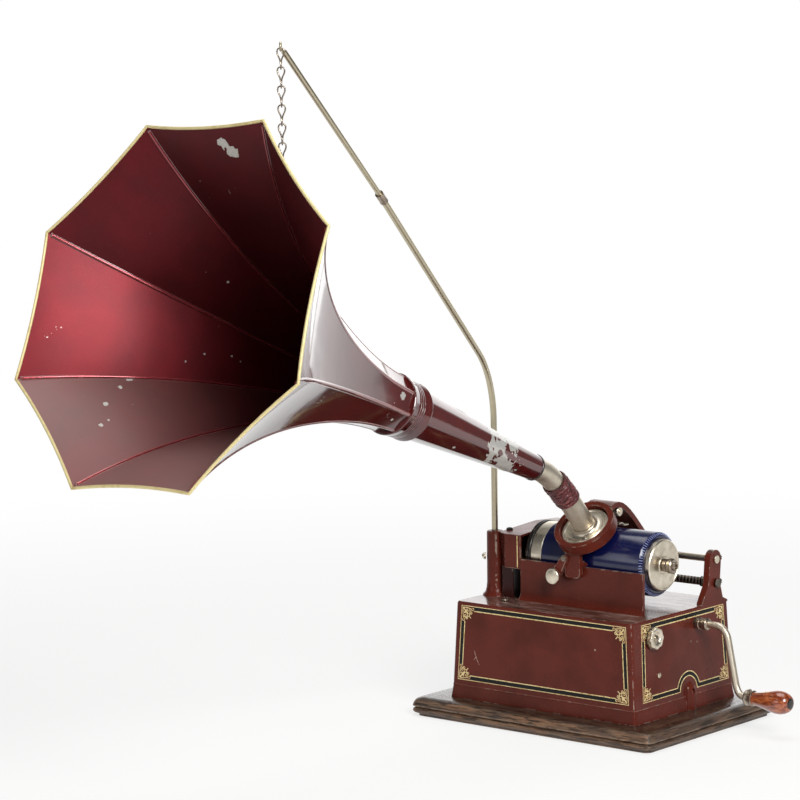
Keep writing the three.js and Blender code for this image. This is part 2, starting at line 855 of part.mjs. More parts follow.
function addScrews() {
  const bedScrew = add('bed_screw', slottedHead(slotHeadRadius, slotHeadHeight), 'nickel');
  bedScrew.position.set(bedScrewX, bedScrewY, bedTop + gap);
  const clampAngle = clampScrewTurnDegrees * degree;
  const clamp = add('crane_clamp_screw', slottedHead(slotHeadRadius, 2 * slotHeadHeight), 'nickel');
  const reach = pillarRadius + gap;
  clamp.position.set(pillarX + reach * Math.cos(clampAngle), pillarY + reach * Math.sin(clampAngle),
    bedTop + clampScrewHeight);
  clamp.rotation.set(0, Math.PI / 2, clampAngle, 'ZYX');
}

// Mandrel, its flange, gear and shaft, and the record on it
function addMandrel() {
  const bore = shaftRadius + gap;
  add('mandrel', turnedX([
    [mandrelRight, bore], [mandrelRight, mandrelSmallRadius], [recordLeft - gap, mandrelLargeRadius],
    [recordLeft - gap, mandrelBandRadius], [mandrelLeft, mandrelBandRadius],
    [mandrelLeft, mandrelLargeRadius - mandrelWall],
    [mandrelRight - mandrelWall, mandrelSmallRadius - mandrelWall],
      [mandrelRight - mandrelWall, bore], [mandrelRight, bore],
  ], ...mandrelCentre, round), 'nickel');
  add('mandrel_flange',
    turnedX(tubeProfile(flangeLeft, mandrelLeft - gap, bore, flangeRadius), ...mandrelCentre,
    round), 'black');
  const boss = mandrelRight + gap;
  const neck = boss + shaftBossLength;
  const nut = neck + shaftNeckLength;
  const tip = nut + shaftNutLength;
  add('mandrel_shaft', turnedX(solidProfile(
    [gearLeft - gap, shaftRadius], [boss, shaftRadius], [boss, shaftBossRadius], [neck, shaftBossRadius],
    [neck, shaftNeckRadius], [nut, shaftNeckRadius], [nut, shaftNutRadius], [tip, shaftNutRadius],
    [tip, shaftTipRadius], [tip + shaftTipLength, shaftTipRadius],
  ), ...mandrelCentre), 'nickel');
  add('mandrel_gear',
    gearX(mandrelTeeth, gearModule, mandrelTurn, bore, gearLeft, gearRight, mandrelCentre), 'brass');
  const boreAt = (x) => gap + mandrelLargeRadius
    - ((x - recordLeft) / (mandrelRight - recordLeft)) * (mandrelLargeRadius - mandrelSmallRadius);
  add('cylinder_record', turnedX([
    [recordLeft, boreAt(recordLeft)], [recordLeft, recordRadius], [recordRight - recordBevel, recordRadius],
    [recordRight, recordRadius - recordBevel], [recordRight, boreAt(recordRight)],
      [recordLeft, boreAt(recordLeft)],
  ], ...mandrelCentre, round), 'wax');
}

// Guide rod and feed screw, carried by both uprights
function addRods() {
  add('guide_rod', turnedX(solidProfile(
    [leftUprightLeft, guideRadius], [rightFace + gap, guideRadius],
    [rightFace + gap, guideCapRadius], [rightFace + gap + guideCapLength, guideCapRadius],
  ), rodsY, guideZ), 'nickel');
  const collarRight = rightUprightLeft - screwCollarInset;
  const threadLeft = leftUprightRight + runningGap;
  const threadRight = rightUprightLeft - runningGap;
  const nutLeft = rightFace + runningGap;
  add('feed_screw', turnedX(solidProfile(
    [gearLeft - gap, screwPivotRadius], [threadLeft, screwPivotRadius], [threadLeft, screwRadius],
    [collarRight - screwCollarLength, screwRadius], [collarRight - screwCollarLength, screwCollarRadius],
    [collarRight, screwCollarRadius], [collarRight, screwRadius], [threadRight, screwRadius],
    [threadRight, screwPivotRadius], [nutLeft, screwPivotRadius],
    [nutLeft, screwNutRadius], [nutLeft + screwNutLength, screwNutRadius],
  ), ...feedCentre), 'steel');
  const bore = screwPivotRadius + gap;
  add('feed_gear', gearX(feedTeeth, gearModule, feedTurn, bore, gearLeft, gearRight, feedCentre), 'brass');
}

function addGearTrain() {
  const studBore = studRadius + runningGap;
  add('transfer_gear',
    gearX(transferTeeth, gearModule, transferTurn, studBore, gearLeft, gearRight,
    transferCentre), 'brass');
  add('idler_gear',
    gearX(idlerTeeth, gearModule, idlerTurn, studBore, gearLeft, gearRight, idlerCentre), 'brass');
  const bore = driveShaftRadius + gap;
  add('drive_wheel', gearX(driveTeeth, gearModule, driveTurn, bore, gearLeft, gearRight, driveCentre),
    'brass');
  const pinionLeft = barrelLeft - barrelGearFace - gap;
  add('drive_shaft', join(
    rodX(gearLeft - gap, frameRight + framePlate, driveShaftRadius, ...driveCentre),
    gearX(drivePinionTeeth, gearModule, 0, 0, pinionLeft - gap, barrelLeft - gap, driveCentre),
    gearX(governorWheelTeeth, fineModule, 0, 0, governorWheelLeft,
      governorWheelLeft + governorWheelFace, driveCentre),
  ), 'steel');
}

// Spring barrel with its main wheel, the spring in it, its lid, and the arbor that winds it
function addBarrel() {
  const bore = arborRadius + runningGap;
  const left = barrelLeft;
  const right = barrelLeft + barrelLength;
  const cup = turnedX([
    [left, bore], [left, barrelRadius], [right, barrelRadius], [right, barrelRadius - barrelWall],
    [left + barrelWall, barrelRadius - barrelWall], [left + barrelWall, bore], [left, bore],
  ], ...barrelCentre, fine);
  const wheelLeft = left - barrelGearFace;
  const wheel = gearX(barrelTeeth, gearModule, barrelTurn, bore, wheelLeft, left + gap, barrelCentre);
  add('spring_barrel', join(cup, wheel), 'brass');
  add('barrel_lid', turnedX(tubeProfile(right + gap, right + gap + barrelLidThickness, bore, barrelRadius),
    ...barrelCentre, fine), 'brass');
  add('mainspring', turnedX(tubeProfile(left + barrelWall + gap, right - gap, springInnerRadius,
    barrelRadius - barrelWall - gap), ...barrelCentre, fine), 'steel');
  const hub = [left + barrelWall + gap, right - gap];
  const wheelAt = frameRight + framePlate + windingOffset;
  const arbor = turnedX(solidProfile(
    [frameLeft, arborRadius], [hub[0], arborRadius], [hub[0], arborHubRadius], [hub[1], arborHubRadius],
    [hub[1], arborRadius], [wheelAt + windingFace + gap, arborRadius],
  ), ...barrelCentre);
  const windingWheel =
    gearX(windingTeeth, fineModule, windingTurn, 0, wheelAt, wheelAt + windingFace, barrelCentre);
  const ratchet =
    plateX(ratchetOutline(), ratchetLeft, ratchetLeft + ratchetFace).translate(0, ...barrelCentre);
  add('winding_arbor', join(arbor, windingWheel, ratchet), 'steel');
}

function ratchetOutline() {
  const pitch = 360 / ratchetTeeth;
  return Array.from({ length: ratchetTeeth }, (_, i) => [
    arc([0, 0], ratchetRadius, i * pitch, i * pitch, 1)[0],
    arc([0, 0], ratchetRadius - ratchetToothDepth, (i + 0.9) * pitch, (i + 0.9) * pitch, 1)[0],
  ]).flat();
}

// Pawl that holds the ratchet, turning on a pin against the frame's right plate
function addPawl() {
  const tip = [barrelCentre[0], barrelCentre[1] - ratchetRadius - pawlWidth / 2 - 2 * gap];
  const pivot = [tip[0] + pawlLength, tip[1] + pawlWidth];
  add('pawl', join(
    plateX(roundBar(tip, pivot, pawlWidth / 2), ratchetLeft, ratchetLeft + ratchetFace),
    rodX(ratchetLeft - pawlStand + gap, ratchetLeft + ratchetFace + gap, pawlPivotRadius, ...pivot, coarse),
  ), 'steel');
}

// Two plates and four pillars that hang under the bed and carry the motor
function motorFrame() {
  const top = bedUnderside - gap;
  const outline = [[frameFront, frameBottom], [frameBack, frameBottom], [frameBack, top], [frameFront, top]];
  const plate = (x0) => plateX(outline, x0, x0 + framePlate);
  const inset = framePillarInset;
  const pillars = [
    [frameFront + inset, frameBottom + inset], [frameBack - inset, frameBottom + inset],
    [frameFront + inset, top - inset], [frameBack - inset, top - inset],
  ].map(([y, z]) => rodX(frameLeft + gap, frameRight + gap, framePillarRadius, y, z, coarse));
  const through = [frameLeft - overrun, frameRight + framePlate + overrun];
  return cut(
    join(plate(frameLeft), plate(frameRight), ...pillars),
    rodX(...through, driveShaftRadius + runningGap, ...driveCentre),
    rodX(...through, arborRadius + runningGap, ...barrelCentre),
    rodX(...through, governorRadius + runningGap, ...governorCentre),
    rodX(frameRight - overrun, frameRight + framePlate + overrun, crankShaftRadius + runningGap,
      ...crankCentre),
    rodX(frameRight - overrun, frameRight + framePlate + overrun, knobSpindleRadius + runningGap,
      ...knobCentre),
  );
}

// Governor: pinion, three weights on a hub and the disc that the brake rubs
function governor() {
  const [y, z] = governorCentre;
  const spindle = rodX(frameLeft, frameRight + framePlate, governorRadius, y, z, coarse);
  const pinion = gearX(governorPinionTeeth, fineModule, governorTurn, 0,
    governorWheelLeft - gap, governorWheelLeft + governorWheelFace + gap, governorCentre);
  const hub = rodX(governorWeightLeft, governorWeightLeft + governorWeightLength,
    governorWeightReach - governorWeightRadius / 2, y, z, coarse);
  const weights = circle(governorCentre, governorWeightReach, 3)
    .map((centre) =>
      rodX(governorWeightLeft, governorWeightLeft + governorWeightLength, governorWeightRadius,
      ...centre, coarse));
  const disc = rodX(governorDiscLeft, governorDiscLeft + governorDiscThickness, governorDiscRadius, y,
    z, fine);
  return join(spindle, pinion, hub, ...weights, disc);
}

// Scalloped knob, its spindle, and the brake cam on the spindle's inner end
function addKnob() {
  const wallX = Math.max(caseWallAt(knobHeight + knobRadius), caseWallAt(knobHeight - knobRadius));
  const rim = Array.from({ length: knobScallops * 4 }, (_, i) => {
    const radius = knobRadius - (i % 4 === 0 ? knobScallopDepth : 0);
    const angle = (i / (knobScallops * 4)) * 2 * Math.PI;
    return [radius * Math.cos(angle), radius * Math.sin(angle)];
  });
  const front = wallX + 2 * gap + knobThickness;
  const inner = governorDiscLeft - gap;
  const toDisc = [governorCentre[0] - knobCentre[0], governorCentre[1] - knobCentre[1]];
  const span = Math.hypot(...toDisc);
  const reach = span - governorDiscRadius - gap - brakeCamReach * 2;
  const camEnd = [(toDisc[0] / span) * reach, (toDisc[1] / span) * reach];
  const outline = roundBar([0, 0], camEnd, brakeCamReach * 2);
  add('start_stop_knob', cut(
    join(
      plateX(rim, wallX + 2 * gap, front).translate(0, ...knobCentre),
      rodX(inner, wallX + knobThickness, knobSpindleRadius, ...knobCentre, coarse),
      plateX(outline, governorDiscLeft, governorDiscLeft + brakeCamFace).translate(0, ...knobCentre),
    ),
    rodX(front - knobRecessDepth, front + overrun, knobRecessRadius, ...knobCentre, fine),
  ), 'nickel');
}

// Outer face of the right wall at a height above the board
function caseWallAt(height) {
  const share = (height - plinthHeight) / (caseHeight - plinthHeight);
  return (plinthWidth + (bedWidth - plinthWidth) * share) / 2;
}

// Crank: winding shaft with its pinion, the bent arm hanging down, and a grip that spins on the arm's pin
function addCrank() {
  const wallX = caseWallAt(crankHeight);
  const [y, z] = crankCentre;
  const pinionLeft = frameRight + framePlate + windingOffset;
  const hubStart = wallX + crankHubStand;
  add('winding_shaft', join(
    rodX(frameRight - overrun, hubStart - gap, crankShaftRadius, y, z),
    gearX(windingPinionTeeth, fineModule, 0, 0, pinionLeft - gap, pinionLeft + windingFace + gap,
      crankCentre),
  ), 'steel');
  const hubEnd = hubStart + crankHubLength;
  const foot = z - crankThrow;
  const knee = new THREE.Vector3(crankRodTop - crankBendRadius / 4, y, z);
  const ankle = new THREE.Vector3(crankRodFoot + gap, y, foot);
  const down = ankle.clone().sub(knee).normalize();
  const route = [
    new THREE.Vector3(hubEnd - overrun, y, z),
    ...bend(new THREE.Vector3(knee.x - crankBendRadius, y, z), knee,
      knee.clone().addScaledVector(down, crankBendRadius), 6),
    ...bend(ankle.clone().addScaledVector(down, -crankBendRadius), ankle,
      new THREE.Vector3(Math.min(ankle.x + crankBendRadius, crankArmEnd - gap), y, foot), 6),
    new THREE.Vector3(crankArmEnd, y, foot),
  ];
  const grip = crankArmEnd + gap;
  add('crank_arm', join(
    sweep(route, crankRodRadius, coarse),
    turnedX(solidProfile([hubStart, crankHubRadius], [hubEnd - overrun, crankHubRadius],
      [hubEnd, crankRodRadius + gap]), y, z, medium),
    rodX(crankArmEnd - gap, grip + gripLength - gripEndRadius, crankPinRadius, y, foot, coarse),
  ), 'nickel');
  const bore = crankPinRadius + runningGap;
  const neck = grip + gripFerruleLength;
  const belly = grip + gripLength - gripEndRadius;
  add('crank_grip', turnedX([
    [grip, bore], [grip, gripFerruleRadius - overrun],
      [grip + overrun, gripFerruleRadius], [neck - overrun, gripFerruleRadius],
    [neck, gripNeckRadius],
      [(neck + belly) / 2, (gripNeckRadius + gripRadius) / 2 + gap], [belly - gripEndRadius, gripRadius],
    [belly, gripRadius - gap], [grip + gripLength - overrun, gripEndRadius],
      [grip + gripLength, gripEndRadius / 2],
    [grip + gripLength, 0], [belly + 2 * gap, 0], [belly + 2 * gap, bore], [grip, bore],
  ], y, foot, fine), 'amber');
}

// Points of a smooth corner
function bend(from, corner, to, steps) {
  return new THREE.QuadraticBezierCurve3(from, corner, to).getPoints(steps);
}

// Carriage. The ring's axis leans forward from the record's axis
const leanDirection = [-Math.cos(armLean * degree), Math.sin(armLean * degree)];
const ringBack = recordRadius + ringStand;
const ringFront = ringBack + ringDepth;

function onLean(distance, side = 0) {
  const y = axisY + distance * leanDirection[0] + side * leanDirection[1];
  const z = axisZ + distance * leanDirection[1] - side * leanDirection[0];
  return [y, z];
}

// Puts a piece turned about +Z onto the ring's axis, its zero at the record's axis
function leaned(geometry) {
  return geometry.rotateX((90 - armLean) * degree).translate(carriageX, axisY, axisZ);
}

function carriageRing() {
  const seat = ringBack + ringLipThickness;
  return leaned(turnedZ([
    [ringBack, ringLipBore], [ringBack, ringRadius - overrun],
      [ringBack + overrun, ringRadius], [ringFront, ringRadius],
    [ringFront, ringBore + gap], [seat, ringBore + gap], [seat, ringLipBore], [ringBack, ringLipBore],
  ], 0, 0, round));
}

function carriageArch() {
  const [startY, startZ] = onLean(ringFront - archThickness, ringRadius - overrun);
  const endY = rodsY + gap;
  const endZ = guideZ + armBossRadius - archThickness / 2;
  const curve = new THREE.CubicBezierCurve(
    new THREE.Vector2(startY, startZ), new THREE.Vector2(startY + archRise * 2, startZ + archRise),
    new THREE.Vector2(endY - archRise * 3, endZ + archRise * 3), new THREE.Vector2(endY, endZ));
  const steps = 10;
  const sides = [1, -1].map((side) => Array.from({ length: steps + 1 }, (_, i) => {
    const point = curve.getPoint(i / steps);
    const along = curve.getTangent(i / steps);
    return [point.x - (side * along.y * archThickness) / 2, point.y + (side * along.x * archThickness) / 2];
  }));
  return plateX([...sides[0], ...sides[1].reverse()], carriageX - archWidth / 2, carriageX + archWidth / 2);
}

function carriageFoot() {
  const back = railFront - footStand;
  const bottom = bedTop + footBottom;
  const corner = (footRight - footLeft) / 4;
  const outline = [
    [footRight, bedTop + footTop], [footLeft, bedTop + footTop],
    ...arc([footLeft + corner, bottom + corner], corner, 180, 270, 4),
    ...arc([footRight - corner, bottom + corner], corner, 270, 360, 4),
  ];
  const lugBottom = railTop + gap;
  return join(
    plateY(outline, back - footThickness, back),
    block(footLeft + corner, footRight, back - footThickness / 2, railFront + restLugDepth, lugBottom,
      lugBottom + restLugHeight),
  );
}

function carriageBoss() {
  const half = armBossLength / 2;
  return turnedX(tubeProfile(carriageX - half, carriageX + half, bushRadius + runningGap,
    armBossRadius), rodsY, guideZ, fine);
}

// Arm from the boss down to a half nut that rests against the front of the feed screw
function halfNut() {
  const left = carriageX - halfNutLength / 2;
  const right = carriageX + halfNutLength / 2;
  const face = rodsY - gap;
  const outline = [
    [face - halfNutDepth, screwZ - halfNutHeight / 2], [face, screwZ - halfNutHeight / 2],
    [face, screwZ + halfNutHeight / 2], [face - halfNutDepth / 2, guideZ - bushRadius - gap * 4],
    [face - halfNutDepth, guideZ - bushRadius - gap * 2],
  ];
  return cut(plateX(outline, left, right),
    rodX(left - overrun, right + overrun, screwRadius + gap, ...feedCentre));
}

function addCarriage() {
  const half = bushLength / 2;
  add('carriage_bush',
    turnedX(tubeProfile(carriageX - half, carriageX + half, guideRadius + runningGap, bushRadius),
    rodsY, guideZ, fine), 'nickel');
  const inside =
    leaned(turnedZ(solidProfile([ringBack - 3 * overrun, ringLipBore],
    [ringBack + ringLipThickness, ringLipBore],
    [ringBack + ringLipThickness, ringBore + gap],
      [ringFront + 2 * archThickness, ringBore + gap]), 0, 0, round));
  const bushHole =
    rodX(carriageX - bushLength, carriageX + bushLength, bushRadius + runningGap, rodsY, guideZ, fine);
  const pivotHole =
    rodY(railFront - footStand - 2 * footThickness, railBack, leverPivotRadius + gap, leverPivotX,
    leverPivotZ, coarse);
  add('carriage_arm', cut(
    join(carriageRing(), carriageArch(), carriageBoss(), carriageFoot(), halfNut()),
    inside, bushHole, pivotHole,
  ), 'enamel');
}

// Lift lever on the arm's foot, its nickel knob and the finger that bears on the rail
const leverPivotZ = bedTop + leverPivotHeight;
const leverBack = railFront - footStand - footThickness - gap;

function addLever() {
  const front = leverBack - leverThickness;
  const end = [leverEndX, bedTop + leverEndHeight];
  const fingerFront = railFront + restLugDepth + gap;
  const fingerBack = fingerFront + leverFingerThickness;
  const reach = leverFingerLength - leverFingerHalfWidth;
  const drop = Math.asin((leverPivotZ - railTop - gap - leverFingerHalfWidth) / reach);
  const tip = [leverPivotX + reach * Math.cos(drop), leverPivotZ - reach * Math.sin(drop)];
  add('lift_lever', join(
    plateY(roundBar([leverPivotX, leverPivotZ], end, leverPivotHalfWidth, leverHalfWidth), front, leverBack),
    rodY(front + gap, fingerBack, leverPivotRadius, leverPivotX, leverPivotZ, coarse),
    plateY(roundBar([leverPivotX, leverPivotZ], tip, leverFingerHalfWidth), fingerFront, fingerBack),
  ), 'enamel');
  add('lift_knob', rodY(front - gap - leverKnobThickness, front - gap, leverKnobRadius, ...end, fine),
    'nickel');
}

// Reproducer in the ring, and the floating weight with its stylus below it
function addReproducer() {
  const back = ringBack + ringLipThickness + gap;
  const face = back + soundboxDepth;
  const neck = face + soundboxNeckHeight;
  const bore = tubeRadius - tubeWall;
  add('reproducer', leaned(turnedZ([
    [back, bore], [back, soundboxRadius], [face, soundboxRadius], [face, soundboxStepRadius + overrun],
    [face - soundboxStepHeight, soundboxStepRadius], [face, soundboxNeckRadius], [neck, soundboxNeckRadius],
    [neck, bore], [back, bore],
  ], 0, 0, round)), 'nickel');
  const weightTop = back - 2 * gap;
  const weightBottom = weightTop - weightThickness;
  add('floating_weight', leaned(join(
    turnedZ(solidProfile([weightBottom, weightRadius], [weightTop, weightRadius]), 0, 0, fine),
    turnedZ(solidProfile([recordRadius + gap, stylusRadius / 2], [weightBottom + gap, stylusRadius]), 0,
      0, 8),
  )), 'brass');
  return neck;
}

// Elbow from the reproducer to the horn's small end, in the vertical plane through the carriage
function addElbow(neck) {
  const [startY, startZ] = onLean(neck + gap);
  const start = new THREE.Vector3(carriageX, startY, startZ);
  const end = new THREE.Vector3(carriageX, hornBackY, hornBackZ);
  const rise = hornRiseDegrees * degree;
  const hornAxis = new THREE.Vector3(0, -Math.cos(rise), Math.sin(rise));
  end.addScaledVector(hornAxis, -gap);
  const lean = new THREE.Vector3(0, leanDirection[0], leanDirection[1]);
  const curve = new THREE.CubicBezierCurve3(start, start.clone().addScaledVector(lean, elbowLead),
    end.clone().addScaledVector(hornAxis, -elbowTail), end);
  const piece = (from, to, outer, inner, steps) => {
    const stations = Array.from({ length: steps + 1 }, (_, i) => from + ((to - from) * i) / steps);
    const route = stations.map((share) => curve.getPoint(share));
    route.splice(1, 0, route[0].clone().addScaledVector(curve.getTangent(from), gap));
    route.splice(-1, 0, route[route.length - 1].clone().addScaledVector(curve.getTangent(to), -gap));
    const longer = [
      route[0].clone().addScaledVector(curve.getTangent(from), -overrun), ...route,
      route[route.length - 1].clone().addScaledVector(curve.getTangent(to), overrun),
    ];
    return cut(sweep(route, outer, medium), sweep(longer, inner, medium));
  };
  const tubeInner = tubeRadius - tubeWall;
  add('elbow_lower_tube', piece(0, sleeveStart + sleeveOverlap, tubeRadius, tubeInner, 4), 'nickel');
  add('rubber_sleeve', piece(sleeveStart, sleeveEnd, sleeveRadius, tubeRadius + gap, 4), 'rubber');
  add('elbow_upper_tube', piece(sleeveEnd - sleeveOverlap / 3, 1, tubeRadius, tubeInner, 4), 'nickel');
  return curve.getPoint(sleeveEnd);
}

// Horn, in a frame whose Z runs from its small end to its mouth
function flareRadius(station) {
  const start = collarStart + collarLength - hornJointInset / 2;
  if (station <= start) return hornNeckRadius;
  const share = (station - start) / (hornLength - start);
  return hornNeckRadius +
    (hornMouthRadius - hornNeckRadius) * (flareShares[0] * share ** 1.8 + flareShares[1] * share ** 6);
}

const halfSide = Math.PI / 8;

function hornPanel(k, stations) {
  const middle = hornRollDegrees * degree + (2 * k + 1) * halfSide;
  const out = [Math.cos(middle), Math.sin(middle)];
  const along = [-out[1], out[0]];
  const point = (n, w, s) => new THREE.Vector3(out[0] * n + along[0] * w, out[1] * n + along[1] * w, s);
  const taper = hornSheet * Math.tan(halfSide);
  const strip = stations.map((s) => {
    const n = flareRadius(s) * Math.cos(halfSide);
    const w = flareRadius(s) * Math.sin(halfSide) - gap / 2;
    return [point(n, -w, s), point(n, w, s), point(n - hornSheet, w - taper, s),
      point(n - hornSheet, -w + taper, s)];
  });
  const seam = stations.filter((s) => s > collarStart + collarLength).map((s) => {
    const n = flareRadius(s) * Math.cos(halfSide);
    const w = -flareRadius(s) * Math.sin(halfSide) + gap / 2;
    return [point(n - hornSheet / 2, w, s), point(n + seamHeight, w, s),
      point(n + seamHeight, w + seamWidth, s),
      point(n - hornSheet / 2, w + seamWidth, s)];
  });
  return join(loft(strip), loft(seam));
}

function octagon(radius, station) {
  return Array.from({ length: 8 }, (_, k) => {
    const angle = hornRollDegrees * degree + 2 * k * halfSide;
    return new THREE.Vector3(radius * Math.cos(angle), radius * Math.sin(angle), station);
  });
}

function hornRim() {
  const rings = octagon(1, 0).map((corner) => {
    const centre = corner.clone().multiplyScalar(hornMouthRadius).setZ(hornLength);
    return Array.from({ length: 8 }, (_, i) => {
      const angle = (i / 8) * 2 * Math.PI;
      return centre.clone()
        .addScaledVector(corner.clone().setZ(0), (rimRadius * Math.cos(angle)) / Math.cos(halfSide))
        .add(new THREE.Vector3(0, 0, rimRadius * Math.sin(angle)));
    });
  });
  return loft(rings, true);
}

function hornCollar() {
  const inner = hornNeckRadius + 2 * gap;
  const end = collarStart + collarLength;
  const outer = (station) => collarRadius - (collarTaper * (end - station)) / collarLength;
  const profile = [[collarStart, inner], [collarStart, outer(collarStart) - collarRibDepth]];
  const step = collarLength / (collarRibs * 2);
  for (let i = 0; i < collarRibs; i += 1) {
    const at = collarStart + (2 * i + 0.5) * step;
    const foot = at + 1.5 * step;
    profile.push([at, outer(at)], [at + step, outer(at + step)], [foot, outer(foot) - collarRibDepth]);
  }
  profile.push([end, inner], [collarStart, inner]);
  return turnedZ(profile, 0, 0, fine);
}

function hornTail() {
  const end = collarStart + hornJointInset;
  const outer = loft([octagon(hornTailRadius, 0), octagon(hornNeckRadius, end)]);
  const bead = turnedZ(solidProfile([0, tailBeadRadius], [tailBeadLength, tailBeadRadius]), 0, 0, medium);
  const inner =
    loft([octagon(hornTailRadius - hornSheet, -overrun),
    octagon(hornNeckRadius - hornSheet, end + overrun)]);
  return cut(join(outer, bead), inner);
}

function addHorn(hornFrame) {
  const first = collarStart + hornJointInset + gap;
  const last = hornLength - rimRadius - gap;
  const count = 13;
  const stations = Array.from({ length: count + 1 }, (_, i) => first + (last - first) * (i / count));
  for (let k = 0; k < 8; k += 1) add(`horn_panel_${k + 1}`, hornPanel(k, stations), 'hornOutside',
    hornFrame);
  add('horn_rim', hornRim(), 'gilt', hornFrame);
  add('horn_collar', hornCollar(), 'hornOutside', hornFrame);
  add('horn_tail', hornTail(), 'hornOutside', hornFrame);
  const slope = (flareRadius(eyeStation + 1) - flareRadius(eyeStation - 1)) * Math.cos(halfSide) / 2;
  const lean = Math.atan(slope);
  const out = new THREE.Vector3(0, Math.cos(lean), -Math.sin(lean));
  const foot = new THREE.Vector3(0, flareRadius(eyeStation) * Math.cos(halfSide), eyeStation);
  const centre = foot.addScaledVector(out, eyeRadius + eyeWire + 2 * gap);
  const route = Array.from({ length: 16 }, (_, i) => {
    const angle = (i / 16) * 2 * Math.PI;
    return centre.clone().add(new THREE.Vector3(eyeRadius * Math.cos(angle), 0, 0))
      .addScaledVector(out, eyeRadius * Math.sin(angle));
  });
  add('horn_eye', ringSweep(route, eyeWire, 6), 'nickel', hornFrame);
  return centre.addScaledVector(out, eyeRadius);
}

// Crane: routes in [reach from the pillar, height], turned to the crane's azimuth
function cranePoint(reach, z) {
  const azimuth = craneAzimuthDegrees * degree;
  return new THREE.Vector3(pillarX + reach * Math.sin(azimuth), pillarY - reach * Math.cos(azimuth), z);
}

function addCrane() {
  const rise = craneLowerRiseDegrees * degree;
  const turn = 90 - craneLowerRiseDegrees;
  const tangent = craneBendRadius * Math.tan((turn / 2) * degree);
  const low = craneKneeZ - tangent;
  const knee = arc([craneBendRadius, low], craneBendRadius, 180, 180 - turn, 8);
  const jointZ = craneKneeZ + craneJointReach * Math.tan(rise);
  const back = (distance) =>
    [craneJointReach - distance * Math.cos(rise), jointZ - distance * Math.sin(rise)];
  const socketFloor = bedTop + pillarHeight - pillarSocketDepth + gap;
  const lowerRoute = [[0, socketFloor], ...knee, back(0)];
  add('crane_lower_rod', sweep(lowerRoute.map(([r, z]) => cranePoint(r, z)), craneRodRadius, coarse),
    'nickel');
  const upperRise = craneUpperRiseDegrees * degree;
  const start = [craneJointReach + gap * 2, jointZ + gap * 2 * Math.tan(upperRise)];
  const tipZ = start[1] + (craneReach - start[0]) * Math.tan(upperRise);
  const before = (distance) =>
    [craneReach - distance * Math.cos(upperRise), tipZ - distance * Math.sin(upperRise)];
  const tip = cranePoint(craneReach, tipZ);
  const facing = chainFacingDegrees * degree;
  const side = new THREE.Vector3(-Math.sin(facing), Math.cos(facing), 0);
  const eye = Array.from({ length: 12 }, (_, i) => {
    const angle = (i / 12) * 2 * Math.PI;
    return tip.clone().addScaledVector(side,
      tipEyeRadius * Math.cos(angle)).add(new THREE.Vector3(0, 0, tipEyeRadius * Math.sin(angle)));
  });
  add('crane_upper_rod', join(
    sweep([start, before(tipNeckLength)].map(([r, z]) => cranePoint(r, z)), craneUpperRadius, coarse),
    sweep([before(tipNeckLength + gap),
      before(tipEyeRadius - tipEyeWire / 2)].map(([r, z]) => cranePoint(r, z)),
      tipNeckRadius, coarse),
    ringSweep(eye, tipEyeWire, 6),
  ), 'nickel');
  const ferrule = [back(craneFerruleLength / 2), [craneJointReach, jointZ],
    [craneJointReach + (craneFerruleLength / 2) * Math.cos(upperRise),
      jointZ + (craneFerruleLength / 2) * Math.sin(upperRise)]];
  const longer = [back(craneFerruleLength), [craneJointReach, jointZ],
    [craneJointReach + craneFerruleLength * Math.cos(upperRise),
      jointZ + craneFerruleLength * Math.sin(upperRise)]];
  add('crane_ferrule', cut(
    sweep(ferrule.map(([r, z]) => cranePoint(r, z)), craneFerruleRadius, medium),
    sweep(longer.map(([r, z]) => cranePoint(r, z)), craneRodRadius + gap, medium),
  ), 'black');
  return tip;
}

// Chain: twisted links whose two loops stand at right angles
function linkRoute(centre, facing) {
  const reach = (linkPitch + 2 * linkWire + gap) / 2;
  return Array.from({ length: 20 }, (_, i) => {
    const t = (i / 20) * 2 * Math.PI;
    const height = Math.cos(t);
    const width = Math.sin(t) * (linkWaist + linkLoopWidth * Math.abs(height));
    const planar = Math.sin(Math.max(-1, Math.min(1, height * 2)) * (Math.PI / 2));
    const twist = facing + (Math.PI / 4) * (1 - planar);
    return new THREE.Vector3(centre.x + width * Math.cos(twist), centre.y + width * Math.sin(twist),
      centre.z + reach * height);
  });
}

function addChain(tip, eyeTop) {
  const reach = (linkPitch + 2 * linkWire + gap) / 2;
  const facing = chainFacingDegrees * degree;
  const top = tip.z - tipEyeRadius + tipEyeWire + linkWire + gap;
  for (let i = 0; i < linkCount; i += 1) {
    const centre = new THREE.Vector3(tip.x, tip.y, top - reach - i * linkPitch);
    add(`chain_link_${i + 1}`, ringSweep(linkRoute(centre, facing), linkWire, 5), 'nickel');
  }
  const lastWire = top - 2 * reach - (linkCount - 1) * linkPitch;
  const ringZ = lastWire + linkWire + hookWire + gap - hookTopRadius;
  const across = new THREE.Vector3(Math.cos(facing), Math.sin(facing), 0);
  const route = [
    ...arc([0, ringZ], hookTopRadius, 240, -90, 8)
      .map(([out, z]) => new THREE.Vector3(tip.x, tip.y, z).addScaledVector(across, out)),
    ...arc([eyeTop.y, eyeTop.z], hookBottomRadius, 180, 330,
      8).map(([y, z]) => new THREE.Vector3(tip.x, y, z)),
  ];
  add('chain_hook', sweep(route, hookWire, 6), 'nickel');
}

// Assembly
add('base_board', baseBoard(), 'oak');
add('case_casting', caseCasting(), 'enamel');
add('gear_cover', gearCover(), 'enamel');
addScrews();
addMandrel();
addRods();
addGearTrain();
addBarrel();
addPawl();
add('motor_frame', motorFrame(), 'brass');
add('governor', governor(), 'steel');
addKnob();
addCrank();
addCarriage();
addLever();
const neckEnd = addReproducer();

